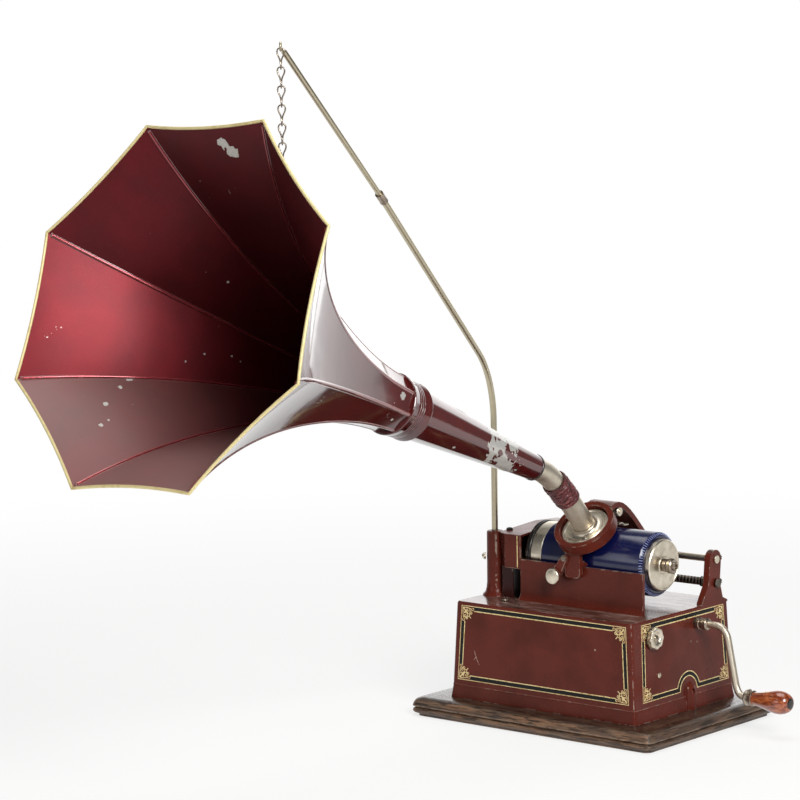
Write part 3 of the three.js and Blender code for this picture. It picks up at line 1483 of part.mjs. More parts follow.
const hornFrame = new THREE.Group();
hornFrame.position.set(carriageX, hornBackY, hornBackZ);
hornFrame.rotation.x = (90 - hornRiseDegrees) * degree;
phonograph.add(hornFrame);
addElbow(neckEnd);
const eyeTopLocal = addHorn(hornFrame);
hornFrame.updateMatrixWorld(true);
addChain(addCrane(), hornFrame.localToWorld(eyeTopLocal));

export default phonograph;
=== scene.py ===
"""Finished pieces, materials and studio of a spring-driven cylinder phonograph with an octagonal
horn.

Sizes in the functions are in millimetres. Meshes are in metres, in the same frame as the solids:
+X runs along the mandrel to its free end, the horn opens toward -Y, and +Z is up.
"""

import math

import bmesh
import bpy
from mathutils import Matrix, Vector


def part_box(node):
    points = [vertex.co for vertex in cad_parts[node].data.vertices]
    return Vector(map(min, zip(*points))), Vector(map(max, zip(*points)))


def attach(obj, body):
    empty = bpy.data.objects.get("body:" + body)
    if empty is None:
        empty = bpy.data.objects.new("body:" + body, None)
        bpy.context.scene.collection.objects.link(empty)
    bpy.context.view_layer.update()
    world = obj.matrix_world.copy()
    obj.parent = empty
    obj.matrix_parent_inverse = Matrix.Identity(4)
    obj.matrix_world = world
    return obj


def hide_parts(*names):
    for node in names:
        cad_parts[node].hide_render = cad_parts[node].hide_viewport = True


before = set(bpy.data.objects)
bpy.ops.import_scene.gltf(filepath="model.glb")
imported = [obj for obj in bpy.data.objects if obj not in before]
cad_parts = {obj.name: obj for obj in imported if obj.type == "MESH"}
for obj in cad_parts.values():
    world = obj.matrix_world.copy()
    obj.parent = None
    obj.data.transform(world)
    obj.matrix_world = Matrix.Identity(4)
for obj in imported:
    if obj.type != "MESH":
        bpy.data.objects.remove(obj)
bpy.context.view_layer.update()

bl_info = {
    "name": "Cylinder Phonograph",
    "version": (1, 0, 0),
    "blender": (4, 5, 0),
    "location": "View3D > Sidebar > Phonograph",
    "description": "Builds the finished pieces of a cylinder phonograph on its solids",
    "category": "Object",
}

MM = 0.001
WHITE = (1, 1, 1, 1)


def mm(*values):
    """A place or size given in millimetres, in metres"""
    return Vector([value * MM for value in values])


def linear(code):
    """An sRGB hex colour as linear red, green, blue and alpha"""
    parts = [int(code[i:i + 2], 16) / 255 for i in (0, 2, 4)]
    return [p / 12.92 if p <= 0.04045 else ((p + 0.055) / 1.055) ** 2.4 for p in parts] + [1.0]


def tint(value):
    """A hex colour or a colour property as a colour with alpha; a socket stays as it is"""
    if isinstance(value, bpy.types.NodeSocket):
        return value
    return linear(value) if isinstance(value, str) else (*value, 1.0)


def spread(start, end, count):
    """Even steps from start to end"""
    return [start + (end - start) * i / count for i in range(count + 1)]


def spot(x, y, z, degrees=0, axis="Z"):
    """A place, turned about one axis"""
    return Matrix.Translation(mm(x, y, z)) @ Matrix.Rotation(math.radians(degrees), 4, axis)


def along_x(y, z):
    """Place whose +Z runs along the machine's +X"""
    return spot(0, y, z, 90, "Y")


def pose(corner, *axes):
    """Place from its corner and its directions across, up and outward"""
    return Matrix.Translation(mm(*corner)) @ Matrix(axes).transposed().to_4x4()


# Places that several pieces share, in millimetres

AXIS = (-2.6, 143.45)
GUIDE_Z = 142.0
SCREW_Z = 121.0
CRANK = (22.4, 90.6)
KNOB = (-44.0, 87.8)
PILLAR = (-86.0, -28.0)
PLINTH_TOP = 29.0
BED_TOP = 103.5
UPRIGHT_TOP = 139.0
CARRIAGE_X = 13.5
LEAN = math.radians(51.6)
HORN_RISE = math.radians(21.6)
HORN_ROLL = math.radians(25.6)
HORN_BACK = (13.5, -91.0, 232.0)
AHEAD = Vector((0, -math.cos(HORN_RISE), math.sin(HORN_RISE)))
MOUTH = 487.5
MOUTH_RADIUS = 154.4
NECK = 190.5
NECK_RADIUS = 21.8
TAIL = 183.0
TAIL_RADIUS = 10.4
SHEET = 0.8
EIGHTH = math.pi / 4

FRONTWARD = Matrix.Rotation(math.radians(90), 4, "X")
LEANING = spot(CARRIAGE_X, *AXIS) @ Matrix.Rotation(math.pi / 2 - LEAN, 4, "X")
HORN = spot(*HORN_BACK) @ Matrix.Rotation(math.pi / 2 - HORN_RISE, 4, "X")
ROLLED = HORN @ Matrix.Rotation(HORN_ROLL, 4, "Z")
FRONT_WALL = pose((0, -74.5, PLINTH_TOP), (1, 0, 0), (0, 0.02727, 0.99963), (0, -0.99963, 0.02727))
RIGHT_WALL = pose((99.5, 0, PLINTH_TOP), (0, 1, 0), (-0.05449, 0, 0.99851), (0.99851, 0, 0.05449))


# Sizes and colours that a user would change


def length(name, description, millimetres):
    """A length property with its default in millimetres"""
    return bpy.props.FloatProperty(
        name=name, description=description, default=millimetres * MM, min=0.0,
        precision=5, subtype="DISTANCE", unit="LENGTH")


def colour(name, description, code):
    """A colour property with its default as an sRGB hex colour"""
    return bpy.props.FloatVectorProperty(
        name=name, description=description, default=linear(code)[:3], min=0.0, max=1.0,
        size=3, subtype="COLOR")


class PhonographSizes(bpy.types.PropertyGroup):
    casting_edge: length("Casting edge", "Rounding of the cast pieces' edges", 0.7)
    cover_edge: length("Cover edge", "Rounding of the gear cover's edges", 0.9)
    gold_line: length("Gold line", "Width of the painted gold lines", 0.9)
    black_band: length("Black band", "Width of the painted black band", 3.2)
    scroll: length("Scroll", "Side of the painted scroll in each corner", 14.0)
    seam_bead: length("Seam bead", "Radius of the folded seams between the horn's panels", 1.2)
    rim_bead: length("Rim bead", "Radius of the bead round the horn's mouth", 1.25)
    rim_bow: length("Rim bow", "How far the middle of each side of the mouth bows inward", 3.5)
    sleeve_crumple: length("Sleeve crumple", "Depth of the folds in the rubber sleeve", 1.3)
    record_bevel: length("Record bevel", "Width of the moulded bevel at the record's free end", 2.6)


class PhonographColours(bpy.types.PropertyGroup):
    enamel: colour("Case enamel", "Stoved enamel on the castings", "61261b")
    enamel_dark: colour("Aged enamel", "Enamel where dirt and oil have darkened it", "521f15")
    horn_outside: colour("Horn outside", "Lacquer on the outside of the horn", "561615")
    horn_inside: colour("Horn inside", "Lacquer on the inside of the horn", "6a0e18")
    gilt: colour("Gilt rim", "Bronze paint on the horn's rim", "e3d39c")
    gold: colour("Gold paint", "Gold paint of the border", "eed9a0")
    nickel: colour("Nickel", "Bright nickel plate", "e2d8c5")
    old_nickel: colour("Old nickel", "Dull plate on the elbow", "dad0be")
    crane_nickel: colour("Crane plate", "Yellowed plate on the crane's rods", "bfb59c")
    oak: colour("Oak", "Face of the base board's oak", "50392b")
    oak_dark: colour("Oak pores", "Dark pores and dirt in the oak", "1d130d")
    record: colour("Record", "Blue moulded record", "0b1240")
    rubber: colour("Rubber", "Perished red rubber of the sleeve", "5a1c20")
    amber: colour("Grip", "Varnished wood of the crank's grip", "8e3c15")


# Nodes


class Nodes:
    """A node tree being filled"""

    def __init__(self, tree):
        self.tree = tree
        tree.nodes.clear()

    def fill(self, node, inputs):
        """Sets or links a node's inputs, each named or numbered"""
        for key, value in inputs.items():
            if isinstance(value, bpy.types.NodeSocket):
                self.tree.links.new(value, node.inputs[key])
            else:
                node.inputs[key].default_value = value

    def add(self, kind, inputs=None, **settings):
        """Adds a shader node with its settings and inputs"""
        node = self.tree.nodes.new("ShaderNode" + kind)
        for key, value in settings.items():
            setattr(node, key, value)
        self.fill(node, inputs or {})
        return node

    def maths(self, operation, *values, clamp=False):
        """A value worked out from up to three others"""
        return self.add("Math", dict(enumerate(values)), operation=operation,
                        use_clamp=clamp).outputs["Value"]

    def vectors(self, operation, *values, output="Value"):
        """A value or vector worked out from vectors"""
        return self.add("VectorMath", dict(enumerate(values)), operation=operation).outputs[output]

    def parts(self, vector):
        """The X, Y and Z of a vector"""
        return self.add("SeparateXYZ", {"Vector": vector}).outputs

    def ranged(self, value, low, high, first=0.0, last=1.0, kind="LINEAR"):
        """A value's span from low to high made one from first to last"""
        return self.add("MapRange", {
            "Value": value, "From Min": low, "From Max": high, "To Min": first, "To Max": last},
            interpolation_type=kind).outputs["Result"]

    def tone(self, value, *stops):
        """A value as a colour from a ramp of places and colours"""
        node = self.add("ValToRGB", {"Fac": value})
        while len(node.color_ramp.elements) < len(stops):
            node.color_ramp.elements.new(1.0)
        for element, (place, shade) in zip(node.color_ramp.elements, stops):
            element.position = place
            element.color = tint(shade)
        return node.outputs["Color"]

    def mix(self, share, first, second):
        """Two colours mixed"""
        return self.add("Mix", {0: share, 6: tint(first), 7: tint(second)},
                        data_type="RGBA").outputs[2]

    def between(self, share, first, second):
        """Two values mixed"""
        return self.add("Mix", {0: share, 2: first, 3: second}).outputs[0]

    def shaders(self, share, first, second):
        """Two shaders mixed"""
        return self.add("MixShader", {
            0: share, 1: first.outputs[0], 2: second.outputs[0]}).outputs[0]

    def strongest(self, first, *others):
        """The strongest of several masks"""
        for other in others:
            first = self.maths("MAXIMUM", first, other)
        return first


class Finish(Nodes):
    """A material in the making: its nodes, its surface shader and its place on the object.
    Spacings, reaches and depths are in millimetres"""

    def __init__(self, name):
        self.material = bpy.data.materials.new(name)
        self.material.use_nodes = True
        super().__init__(self.material.node_tree)
        self.shader = self.add("BsdfPrincipled")
        self.output = self.add("OutputMaterial", {"Surface": self.shader.outputs["BSDF"]})
        self.place = self.add("TexCoord").outputs["Object"]

    def surface(self, inputs):
        """Sets the surface shader and gives the material"""
        self.fill(self.shader, inputs)
        return self.material

    def stretched(self, *scale):
        """The place, stretched so that a texture's features lengthen where the scale is small"""
        return self.add("Mapping", {"Vector": self.place, "Scale": scale}).outputs["Vector"]

    def noise(self, spacing, detail=2.0, roughness=0.5, distortion=0.0, at=None, output="Fac"):
        """Noise whose features are about this far apart"""
        return self.add("TexNoise", {
            "Vector": self.place if at is None else at, "Scale": 1 / (spacing * MM),
            "Detail": detail, "Roughness": roughness, "Distortion": distortion}).outputs[output]

    def cells(self, spacing, **settings):
        """Distance in a pattern of cells"""
        return self.add("TexVoronoi", {"Vector": self.place, "Scale": 1 / (spacing * MM)},
                        **settings).outputs["Distance"]

    def thread(self, spacing):
        """Even grooves across X, which the wave texture draws at almost twice this spacing"""
        return self.add("TexWave", {"Vector": self.place, "Scale": 1 / (spacing * MM) / 6.283},
                        bands_direction="X").outputs["Fac"]

    def relief(self, height, strength, depth):
        """Bumped normal from a height"""
        return self.add("Bump", {"Strength": strength, "Distance": depth * MM,
                                 "Height": height}).outputs["Normal"]

    def normal(self):
        """The surface's own normal"""
        return self.add("NewGeometry").outputs["Normal"]

    def edge_rub(self, reach, amount):
        """Mask of edges rubbed bare, broken up as by handling"""
        # Normals sampled round a point turn away from the surface's own near an edge
        around = self.add("Bevel", {"Radius": reach * MM}, samples=6).outputs["Normal"]
        edge = self.ranged(self.vectors("DOT_PRODUCT", around, self.normal()), 0.995, 0.93)
        broken = self.ranged(self.noise(9, 6.0), 0.62 - amount, 0.70 - amount)
        return self.maths("MULTIPLY", edge, broken)

    def rub_and_highlight_line(self):
        """Thin broken pale line where normals face the front right: wear on the casting's upright
        corner, and a painted highlight down the pillar
        """
        corner = self.vectors("DOT_PRODUCT", self.normal(), (0.68, -0.73, 0.03))
        return self.maths("MULTIPLY", self.ranged(corner, 0.985, 0.999),
                          self.ranged(self.noise(4, 5.0), 0.5, 0.62))

    def flakes(self, size, share):
        """Mask of small flakes knocked out of a coating"""
        both = self.maths("MULTIPLY", self.noise(size, 4.0, 0.6), self.noise(size * 14))
        return self.ranged(both, 0.46 - share, 0.475 - share)

    def chips(self, spots):
        """Mask, in a list, of single chips, each a place and a radius, with ragged outlines"""
        if not spots:
            return []
        ragged = self.vectors("SUBTRACT", self.noise(2.6, 5.0, output="Color"), (0.5, 0.5, 0.5),
                              output="Vector")
        masks = []
        for *place, radius in spots:
            pushed = self.vectors("MULTIPLY_ADD", ragged, (radius * MM * 1.5,) * 3, self.place,
                                  output="Vector")
            reach = self.vectors("DISTANCE", pushed, mm(*place))
            masks.append(self.maths("LESS_THAN", reach, radius * MM))
        return [self.strongest(*masks)]

    def bare_band(self, start, end, island):
        """Mask of a ragged bare band round the horn's tail, between two distances from its small
        end, with islands of lacquer left in it"""
        raggedness = 0.062
        offset = self.vectors("SUBTRACT", self.place, mm(*HORN_BACK), output="Vector")
        station = self.vectors("DOT_PRODUCT", offset, AHEAD)
        shift = self.maths("MULTIPLY_ADD", self.noise(13, 4.0, 0.55), raggedness, station)
        over = self.maths("GREATER_THAN", shift, start * MM + raggedness / 2)
        under = self.maths("LESS_THAN", shift, end * MM + raggedness / 2)
        gone = self.maths("LESS_THAN", self.noise(11, 3.0, distortion=0.4), island)
        return self.maths("MULTIPLY", self.maths("MULTIPLY", over, under), gone)


# Materials


def stoved_enamel(name, face, aged, spots=(), rub=0.10):
    """Stoved enamel on cast iron: a soft gloss over slight unevenness, faint dirt clouds, and bare
    iron along rubbed edges and in single chips, with a thin pale line at the front right that is
    partly wear and partly a painted highlight"""
    make = Finish(name)
    cloud = make.noise(38, 6.0, 0.62)
    tone = make.tone(cloud, (0.36, aged), (0.58, face))
    bare = make.strongest(make.edge_rub(1.2, rub), make.rub_and_highlight_line(), *make.chips(spots))
    iron = make.tone(cloud, (0.4, "8a7468"), (0.6, "c4b3a4"))
    dull = make.ranged(cloud, 0.3, 0.7, 0.34, 0.22)
    # Orange peel of a stoved coat, about 1.6 mm across, and the step down into bare metal
    height = make.maths("SUBTRACT", make.noise(1.6), bare)
    return make.surface({
        "Base Color": make.mix(bare, tone, iron), "Roughness": make.between(bare, dull, 0.5),
        "Metallic": make.maths("MULTIPLY", bare, 0.8), "Normal": make.relief(height, 0.12, 0.12),
        "IOR": 1.52, "Specular IOR Level": 0.17})


def bed_enamel(name, face, aged):
    """Enamel on the bed top, where oil has dried to a brown film that dulls the gloss in streaks.
    Its pale colours also paint the reflection of the bright surround: painted reflection
    """
    make = Finish(name)
    film = make.noise(30, 8.0, 0.7, 0.6, make.stretched(1.0, 3.2, 1.0))
    tone = make.tone(film, (0.33, "3a2620"), (0.5, aged), (0.6, face), (0.72, "9a8880"))
    bare = make.strongest(make.edge_rub(1.2, 0.10), make.flakes(3.5, 0.01))
    return make.surface({
        "Base Color": make.mix(bare, tone, "b5a394"),
        "Roughness": make.ranged(film, 0.35, 0.65, 0.22, 0.08),
        "Normal": make.relief(film, 0.06, 0.2), "IOR": 1.52, "Specular IOR Level": 0.7})


def black_japan(name):
    """Black stoving varnish on small fittings: deep black, fairly glossy, greyed by dust"""
    make = Finish(name)
    tone = make.tone(make.noise(5, 5.0), (0.4, "120e0c"), (0.72, "332b26"))
    return make.surface({"Base Color": make.mix(make.edge_rub(0.5, 0.04), tone, "8d857a"),
                         "Roughness": 0.32, "IOR": 1.52})


def horn_lacquer(name, face, deep, gloss, haze, sheen, settled_and_reflected, coat, spots=(), patch=None):
    """Coloured lacquer on thin sheet: deep and glassy, with some of the sheet's own shine showing
    through, a fine dust haze, a pale veil on up-facing panels that is dust and painted reflection,
    painted shade on down-facing panels, slight dents that bend its reflections, and bare sheet
    where it has flaked"""
    make = Finish(name)
    tone = make.tone(make.noise(60, 5.0, 0.6), (0.28, deep), (0.62, face))
    # Dust and spray specks, drawn at 0.9 mm so that they show
    speck = make.noise(0.9, 3.0, 0.8)
    tone = make.mix(make.ranged(speck, 0.50, 0.86, 0.0, haze), tone, "c9a49b")
    # Dust lies on the panels that face up, most near the mouth, and dulls them; its pale veil also
    # paints the floor's reflection there: painted reflection
    upward = make.parts(make.normal())["Z"]
    mouth = make.ranged(make.parts(make.place)["Y"], -430 * MM, -540 * MM, 0.35, 1.3)
    dust_and_reflection = make.maths("MULTIPLY", make.ranged(upward, 0.45, 0.85, 0.0, settled_and_reflected), mouth)
    tone = make.mix(dust_and_reflection, tone, "a58c86")
    # Lacquer that faces down is darkened toward near black: painted shade under the bell's roof
    tone = make.mix(make.ranged(upward, -0.1, -0.7, 0.0, 0.6), tone, "2c0509")
    masks = [make.flakes(2.6, -0.01), make.edge_rub(0.8, 0.04), *make.chips(spots)]
    if patch:
        masks.append(make.bare_band(*patch))
    bare = make.strongest(*masks)
    dents = make.maths("MULTIPLY_ADD", make.noise(2.2), 0.03, make.noise(45))
    sheet = make.tone(speck, (0.3, "a5a39d"), (0.7, "d4d2cb"))
    metal = make.maths("MULTIPLY_ADD", dust_and_reflection, -1.6, make.between(bare, sheen, 0.4), clamp=True)
    return make.surface({
        "Base Color": make.mix(bare, tone, sheet), "Roughness": make.between(bare, gloss, 0.42),
        "Metallic": metal, "Normal": make.relief(dents, 0.35, 1.6), "IOR": 1.54,
        "Coat Weight": coat, "Coat IOR": 1.55, "Coat Roughness": gloss / 2})


def plated(name, face, stain, low, high, stained=0.5):
    """Worn nickel or other plate: bright where handled, clouded and pitted where it has aged"""
    make = Finish(name)
    cloud = make.noise(9, 7.0, 0.68)
    pit = make.ranged(make.cells(1.6), 0.05, 0.18, 1.0, 0.0)
    aged = make.maths("MULTIPLY_ADD", pit, 0.12, make.ranged(cloud, 0.45, 0.68, 0.0, stained),
                      clamp=True)
    return make.surface({
        "Base Color": make.mix(aged, face, stain), "Metallic": 1.0,
        "Roughness": make.ranged(cloud, 0.35, 0.65, low, high),
        "Normal": make.relief(aged, 0.15, 0.1)})


def threaded_steel(name):
    """Oiled steel of the feed screw: dark, with its thread drawn every 3.6 mm so that it shows, its
    grooves darkened as painted shade
    """
    make = Finish(name)
    thread = make.thread(1.8)
    tone = make.tone(make.noise(7, 4.0), (0.35, "6a6058"), (0.65, "aca193"))
    # Dark bands in the thread's grooves: painted shade
    return make.surface({"Base Color": make.mix(thread, "3a322b", tone), "Metallic": 1.0,
                         "Roughness": 0.34, "Normal": make.relief(thread, 1.0, 0.6)})


def aged_oak(name, face, pore):
    """Oiled oak, dirty and worn: long open pores, broad growth bands, pale rubbed edges. The grain
    runs with each side of the mitred frame"""
    make = Finish(name)
    parts = make.parts(make.place)
    # Past the mitre the grain turns to run along Y
    past = make.maths("SUBTRACT", make.maths("ABSOLUTE", parts["X"]),
                      make.maths("ABSOLUTE", parts["Y"]))
    crossed = make.maths("GREATER_THAN", past, 34 * MM)
    grain = make.add("Mix", {0: crossed, 4: make.stretched(0.09, 1.0, 1.0),
                             5: make.stretched(1.0, 0.09, 1.0)}, data_type="VECTOR").outputs[1]
    bands = make.noise(7, 4.0, distortion=0.8, at=grain)
    tone = make.tone(bands, (0.32, "2c1c12"), (0.48, face), (0.6, "836349"), (0.72, "402b1e"))
    greyed = make.tone(make.noise(26, 5.0), (0.4, "6a5a4d"), (0.62, "8a6448"))
    # Dust and oil lie darkest on the flat top, and the ends have greyed
    top = make.ranged(parts["Z"], 15.2 * MM, 16.2 * MM, 0.0, 0.72)
    soiled = make.strongest(top, make.maths("MULTIPLY", crossed, 0.45))
    mixed = make.mix(soiled, make.mix(0.35, tone, greyed), "3c322b")
    pores = make.ranged(make.noise(1.8, 5.0, 0.7, at=grain), 0.49, 0.57)
    woody = make.mix(make.maths("MULTIPLY", pores, 0.85), mixed, pore)
    rubbed = make.maths("MULTIPLY", make.edge_rub(2.0, 0.22), 0.7)
    # The flat top is polished by wiping
    wiped = make.maths("MULTIPLY_ADD", top, -0.48, make.ranged(bands, 0.3, 0.7, 0.4, 0.6))
    return make.surface({
        "Base Color": make.mix(rubbed, woody, "a08a76"), "Roughness": wiped, "IOR": 1.5,
        "Normal": make.relief(make.maths("SUBTRACT", 1.0, pores), 0.2, 0.4)})


def moulded_record(name, face):
    """Moulded blue record: glossy, its fine grooves seen only as bands of differing sheen"""
    make = Finish(name)
    bands = make.noise(2.4, 8.0, 0.75, at=make.stretched(1.0, 0.02, 0.02))
    # Grooves drawn 1.4 mm apart so that they show
    return make.surface({
        "Base Color": make.tone(bands, (0.3, "0a103a"), (0.68, face)),
        "Roughness": make.ranged(bands, 0.35, 0.65, 0.13, 0.22),
        "Normal": make.relief(make.thread(0.7), 0.04, 0.08), "IOR": 1.55, "Coat Weight": 0.2,
        "Coat Roughness": 0.08})


def perished_rubber(name, face):
    """Perished red rubber: marbled, cracked and polished on its high folds"""
    make = Finish(name)
    marble = make.noise(7, 7.0, 0.65, 1.6)
    tone = make.tone(marble, (0.36, "260b0c"), (0.52, face), (0.66, "7d4440"), (0.8, "b09488"))
    cracks = make.ranged(make.cells(4.5, feature="DISTANCE_TO_EDGE"), 0.0, 0.12)
    return make.surface({
        "Base Color": tone, "Roughness": make.ranged(marble, 0.4, 0.65, 0.42, 0.2),
        "Normal": make.relief(cracks, 0.6, 0.6), "IOR": 1.52})


def varnished_wood(name, face):
    """Amber varnish over turned wood: a glassy coat above streaks that run along the grip"""
    make = Finish(name)
    figure = make.noise(3.2, 6.0, 0.6, 0.7, make.stretched(0.16, 1.0, 1.0))
    tone = make.tone(figure, (0.34, "5a220c"), (0.5, face), (0.68, "c07040"))
    return make.surface({
        "Base Color": tone, "Roughness": 0.28, "IOR": 1.5, "Coat Weight": 1.0,
        "Coat Roughness": 0.04, "Coat IOR": 1.55, "Subsurface Weight": 0.15,
        "Subsurface Scale": 0.003})


def painted(name, face, worn, metal, rough, size=2.5):
    """Hand-painted line: thin paint, worn through in places to the enamel under it"""
    make = Finish(name)
    tone = make.tone(make.noise(size, 5.0, 0.7), (0.36, worn), (0.5, face))
    return make.surface({"Base Color": tone, "Metallic": metal, "Roughness": rough,
                         "Specular IOR Level": 0.3})


# Single chips, each a place and a radius in millimetres, and the bare band on the tail

CASE_CHIPS = [(57.5, -73.2, 77.6, 0.8), (97.0, 13.6, 75.5, 0.8), (97.0, 22.6, 74.0, 0.8),
              (101.2, 2.8, 36.7, 0.9)]
HORN_CHIPS = [(36.8, -300.5, 319.3, 3.4), (31.2, -307.3, 301.1, 1.4), (24.0, -220.2, 267.8, 1.3)]
BELL_CHIPS = [(20.0, -487.5, 528.0, 5.0), (25.4, -480.6, 522.8, 5.4), (-74.5, -496.9, 345.5, 2.8),
              (-72.3, -509.2, 340.7, 1.8), (-67.0, -530.6, 330.1, 2.1),
              (-56.3, -546.6, 316.5, 1.9), (-56.0, -538.7, 319.5, 1.1),
              (-34.6, -425.2, 417.1, 1.0), (-41.3, -415.2, 357.7, 1.0),
              (-38.2, -408.8, 352.9, 0.7), (-50.2, -437.1, 360.8, 0.8),
              (-55.9, -452.8, 356.1, 0.7)]
TAIL_PATCH = (46, 90, 0.585)
FINISHES = {}


def build_finishes(own):
    """All the materials, by the names of their finishes"""
    FINISHES.update({
        "oak": aged_oak("oiled_oak", own.oak, own.oak_dark),
        "enamel": stoved_enamel("stoved_enamel", own.enamel, own.enamel_dark, CASE_CHIPS),
        # The bed's colours are lightened as a painted reflection of the bright surround
        "bed": bed_enamel("oiled_bed_enamel_and_sheen", "7c625a", "5c4038"),
        "carriage": stoved_enamel("carriage_enamel", own.enamel, own.enamel_dark, rub=0.15),
        "black": black_japan("black_japan"),
        "horn": horn_lacquer("horn_lacquer", own.horn_outside, "3c0d0c", 0.10, 0.08, 0.0, 0.05, 0.7,
                             HORN_CHIPS, TAIL_PATCH),
        "bell": horn_lacquer("bell_lacquer", own.horn_inside, "520b13", 0.44, 0.05, 0.72, 0.34,
                             0.04, BELL_CHIPS),
        # Paler, glossier lacquer on the inner seam beads: painted highlight along the seams
        "seam": horn_lacquer("seam_highlight_lacquer", "a8323c", "7c1a24", 0.2, 0.3, 0.7, 0.3, 0.8),
        "strip": horn_lacquer("seam_strip_lacquer", "8a5a58", "6a3434", 0.12, 0.3, 0.0, 0.05, 1.0),
        # Paler enamel on the plinth bead: painted highlight along the plinth's break
        "bead": stoved_enamel("plinth_highlight_enamel", "7c4a40", "6a382e"),
        # Darker enamel on the web under the cover: painted shade
        "painted_shade": stoved_enamel("painted_shade_enamel", "361512", "260d0b"),
        "gilt": painted("bronze_paint", own.gilt, "cfbb84", 0.25, 0.42, 22),
        "gold": painted("gold_line_paint", own.gold, "c09d5c", 0.12, 0.4),
        "band": painted("black_line_paint", "080706", "100d0b", 0.0, 0.5),
        "nickel": plated("nickel_plate", own.nickel, "a3967f", 0.26, 0.44, 0.3),
        "dull": plated("dull_plate", own.old_nickel, "ab9f8a", 0.36, 0.52, 0.4),
        "crane": plated("yellowed_plate", own.crane_nickel, "a2967a", 0.3, 0.36, 0.25),
        "worn": plated("worn_plate", "ab9f90", "5a4534", 0.24, 0.46, 0.75),
        "steel": plated("oiled_steel", "8d877f", "3d352e", 0.25, 0.45, 0.6),
        "thread": threaded_steel("threaded_steel"),
        "brass": plated("cut_brass", "b8924c", "6e5226", 0.22, 0.42, 0.45),
        "record": moulded_record("moulded_blue_wax", own.record),
        "scuff": painted("scuffed_enamel", "b79a90", "8a5f55", 0.0, 0.5),
        "reeding": painted("whitened_wax", "9aa3c8", "3a4480", 0.0, 0.4),
        "rubber": perished_rubber("perished_rubber", own.rubber),
        "amber": varnished_wood("amber_varnish", own.amber),
    })


# Meshes


def activate(*pieces):
    """Selects only these, in object mode, the last of them active"""
    if bpy.context.object and bpy.context.object.mode != "OBJECT":
        bpy.ops.object.mode_set(mode="OBJECT")
    bpy.ops.object.select_all(action="DESELECT")
    for piece in pieces:
        piece.select_set(True)
        bpy.context.view_layer.objects.active = piece


def named(name):
    """The piece just made, given its name"""
    piece = bpy.context.object
    piece.name = name
    return piece


def settle(piece, place=None):
    """Moves a piece to its place and leaves the place in its mesh"""
    activate(piece)
    if place:
        piece.matrix_world = place @ piece.matrix_world
    bpy.ops.object.transform_apply(location=True, rotation=True, scale=True)


def smooth(piece, degrees=34):
    """Smooth shading across all but the sharp edges"""
    activate(piece)
    bpy.ops.object.shade_smooth_by_angle(angle=math.radians(degrees))


def modify(piece, kind, **settings):
    """Adds a modifier with its settings and applies it"""
    activate(piece)
    bpy.ops.object.modifier_add(type=kind)
    modifier = piece.modifiers[-1]
    for key, value in settings.items():
        setattr(modifier, key, value)
    bpy.ops.object.modifier_apply(modifier=modifier.name)


def thicken(piece, thickness, **settings):
    """Gives a sheet its thickness, on its inner side unless told otherwise"""
    modify(piece, "SOLIDIFY", thickness=thickness * MM, **{"offset": -1.0, **settings})


def soften(piece, width, segments=2, degrees=34):
    """Rounds the sharp edges, over a width in metres, and smooths the rest"""
    modify(piece, "BEVEL", width=width, segments=segments, limit_method="ANGLE",
           angle_limit=math.radians(degrees), use_clamp_overlap=True)
    smooth(piece, degrees + 6)
    modify(piece, "WEIGHTED_NORMAL", keep_sharp=True)


def mend(merge=0.0):
    """Merges the active mesh's doubles and turns its faces outward"""
    bpy.ops.object.mode_set(mode="EDIT")
    bpy.ops.mesh.select_all(action="SELECT")
    if merge:
        bpy.ops.mesh.remove_doubles(threshold=MM * merge)
    bpy.ops.mesh.normals_make_consistent(inside=False)
    bpy.ops.object.mode_set(mode="OBJECT")


def traced(name, points):
    """A chain of edges from point to point, in edit mode"""
    activate()
    bpy.ops.mesh.primitive_plane_add(size=MM)
    piece = named(name)
    bpy.ops.object.mode_set(mode="EDIT")
    bpy.ops.mesh.select_mode(type="VERT")
    bpy.ops.mesh.select_all(action="SELECT")
    bpy.ops.mesh.merge(type="CENTER")
    bpy.ops.transform.translate(value=mm(*points[0]))
    for before, after in zip(points, points[1:]):
        bpy.ops.mesh.extrude_region_move(TRANSFORM_OT_translate={
            "value": mm(*(b - a for a, b in zip(before, after)))})
    bpy.ops.mesh.select_all(action="SELECT")
    return piece


def turned(name, profile, steps=96, ring=False):
    """A piece turned about +Z from a profile of heights and radii"""
    outline = list(profile) + ([profile[0]] if ring else [])
    piece = traced(name, [(radius, 0, height) for height, radius in outline])
    bpy.ops.mesh.spin(steps=steps, angle=2 * math.pi, center=(0, 0, 0), axis=(0, 0, 1))
    mend(0.001)
    return piece


def lathe(name, place, fit, profile, steps=96, ring=False, degrees=30):
    """A turned piece in its place, smoothed and fitted out"""
    piece = turned(name, profile, steps, ring)
    settle(piece, place)
    smooth(piece, degrees)
    return fit_out(piece, *fit)


def drawn(name, points, radius, turns=5, loop=False, caps=True, radii=None):
    """A rod, wire or tube drawn along points, in metres"""
    activate()
    bpy.ops.curve.primitive_nurbs_path_add()
    line = named(name).data
    line.splines.clear()
    spline = line.splines.new("POLY")
    spline.points.add(len(points) - 1)
    for i, point in enumerate(points):
        spline.points[i].co = (*point, 1.0)
        spline.points[i].radius = radii[i] if radii else 1.0
    spline.use_cyclic_u = loop
    line.bevel_depth = radius
    line.bevel_resolution = turns
    line.use_fill_caps = caps
    bpy.ops.object.convert(target="MESH")
    mend(0.005)
    return bpy.context.object


def plate(name, width, depth, place):
    """A flat rectangle about its place"""
    activate()
    bpy.ops.mesh.primitive_plane_add(size=1.0)
    piece = named(name)
    piece.scale = mm(width, depth, 1)
    settle(piece, place)
    return piece


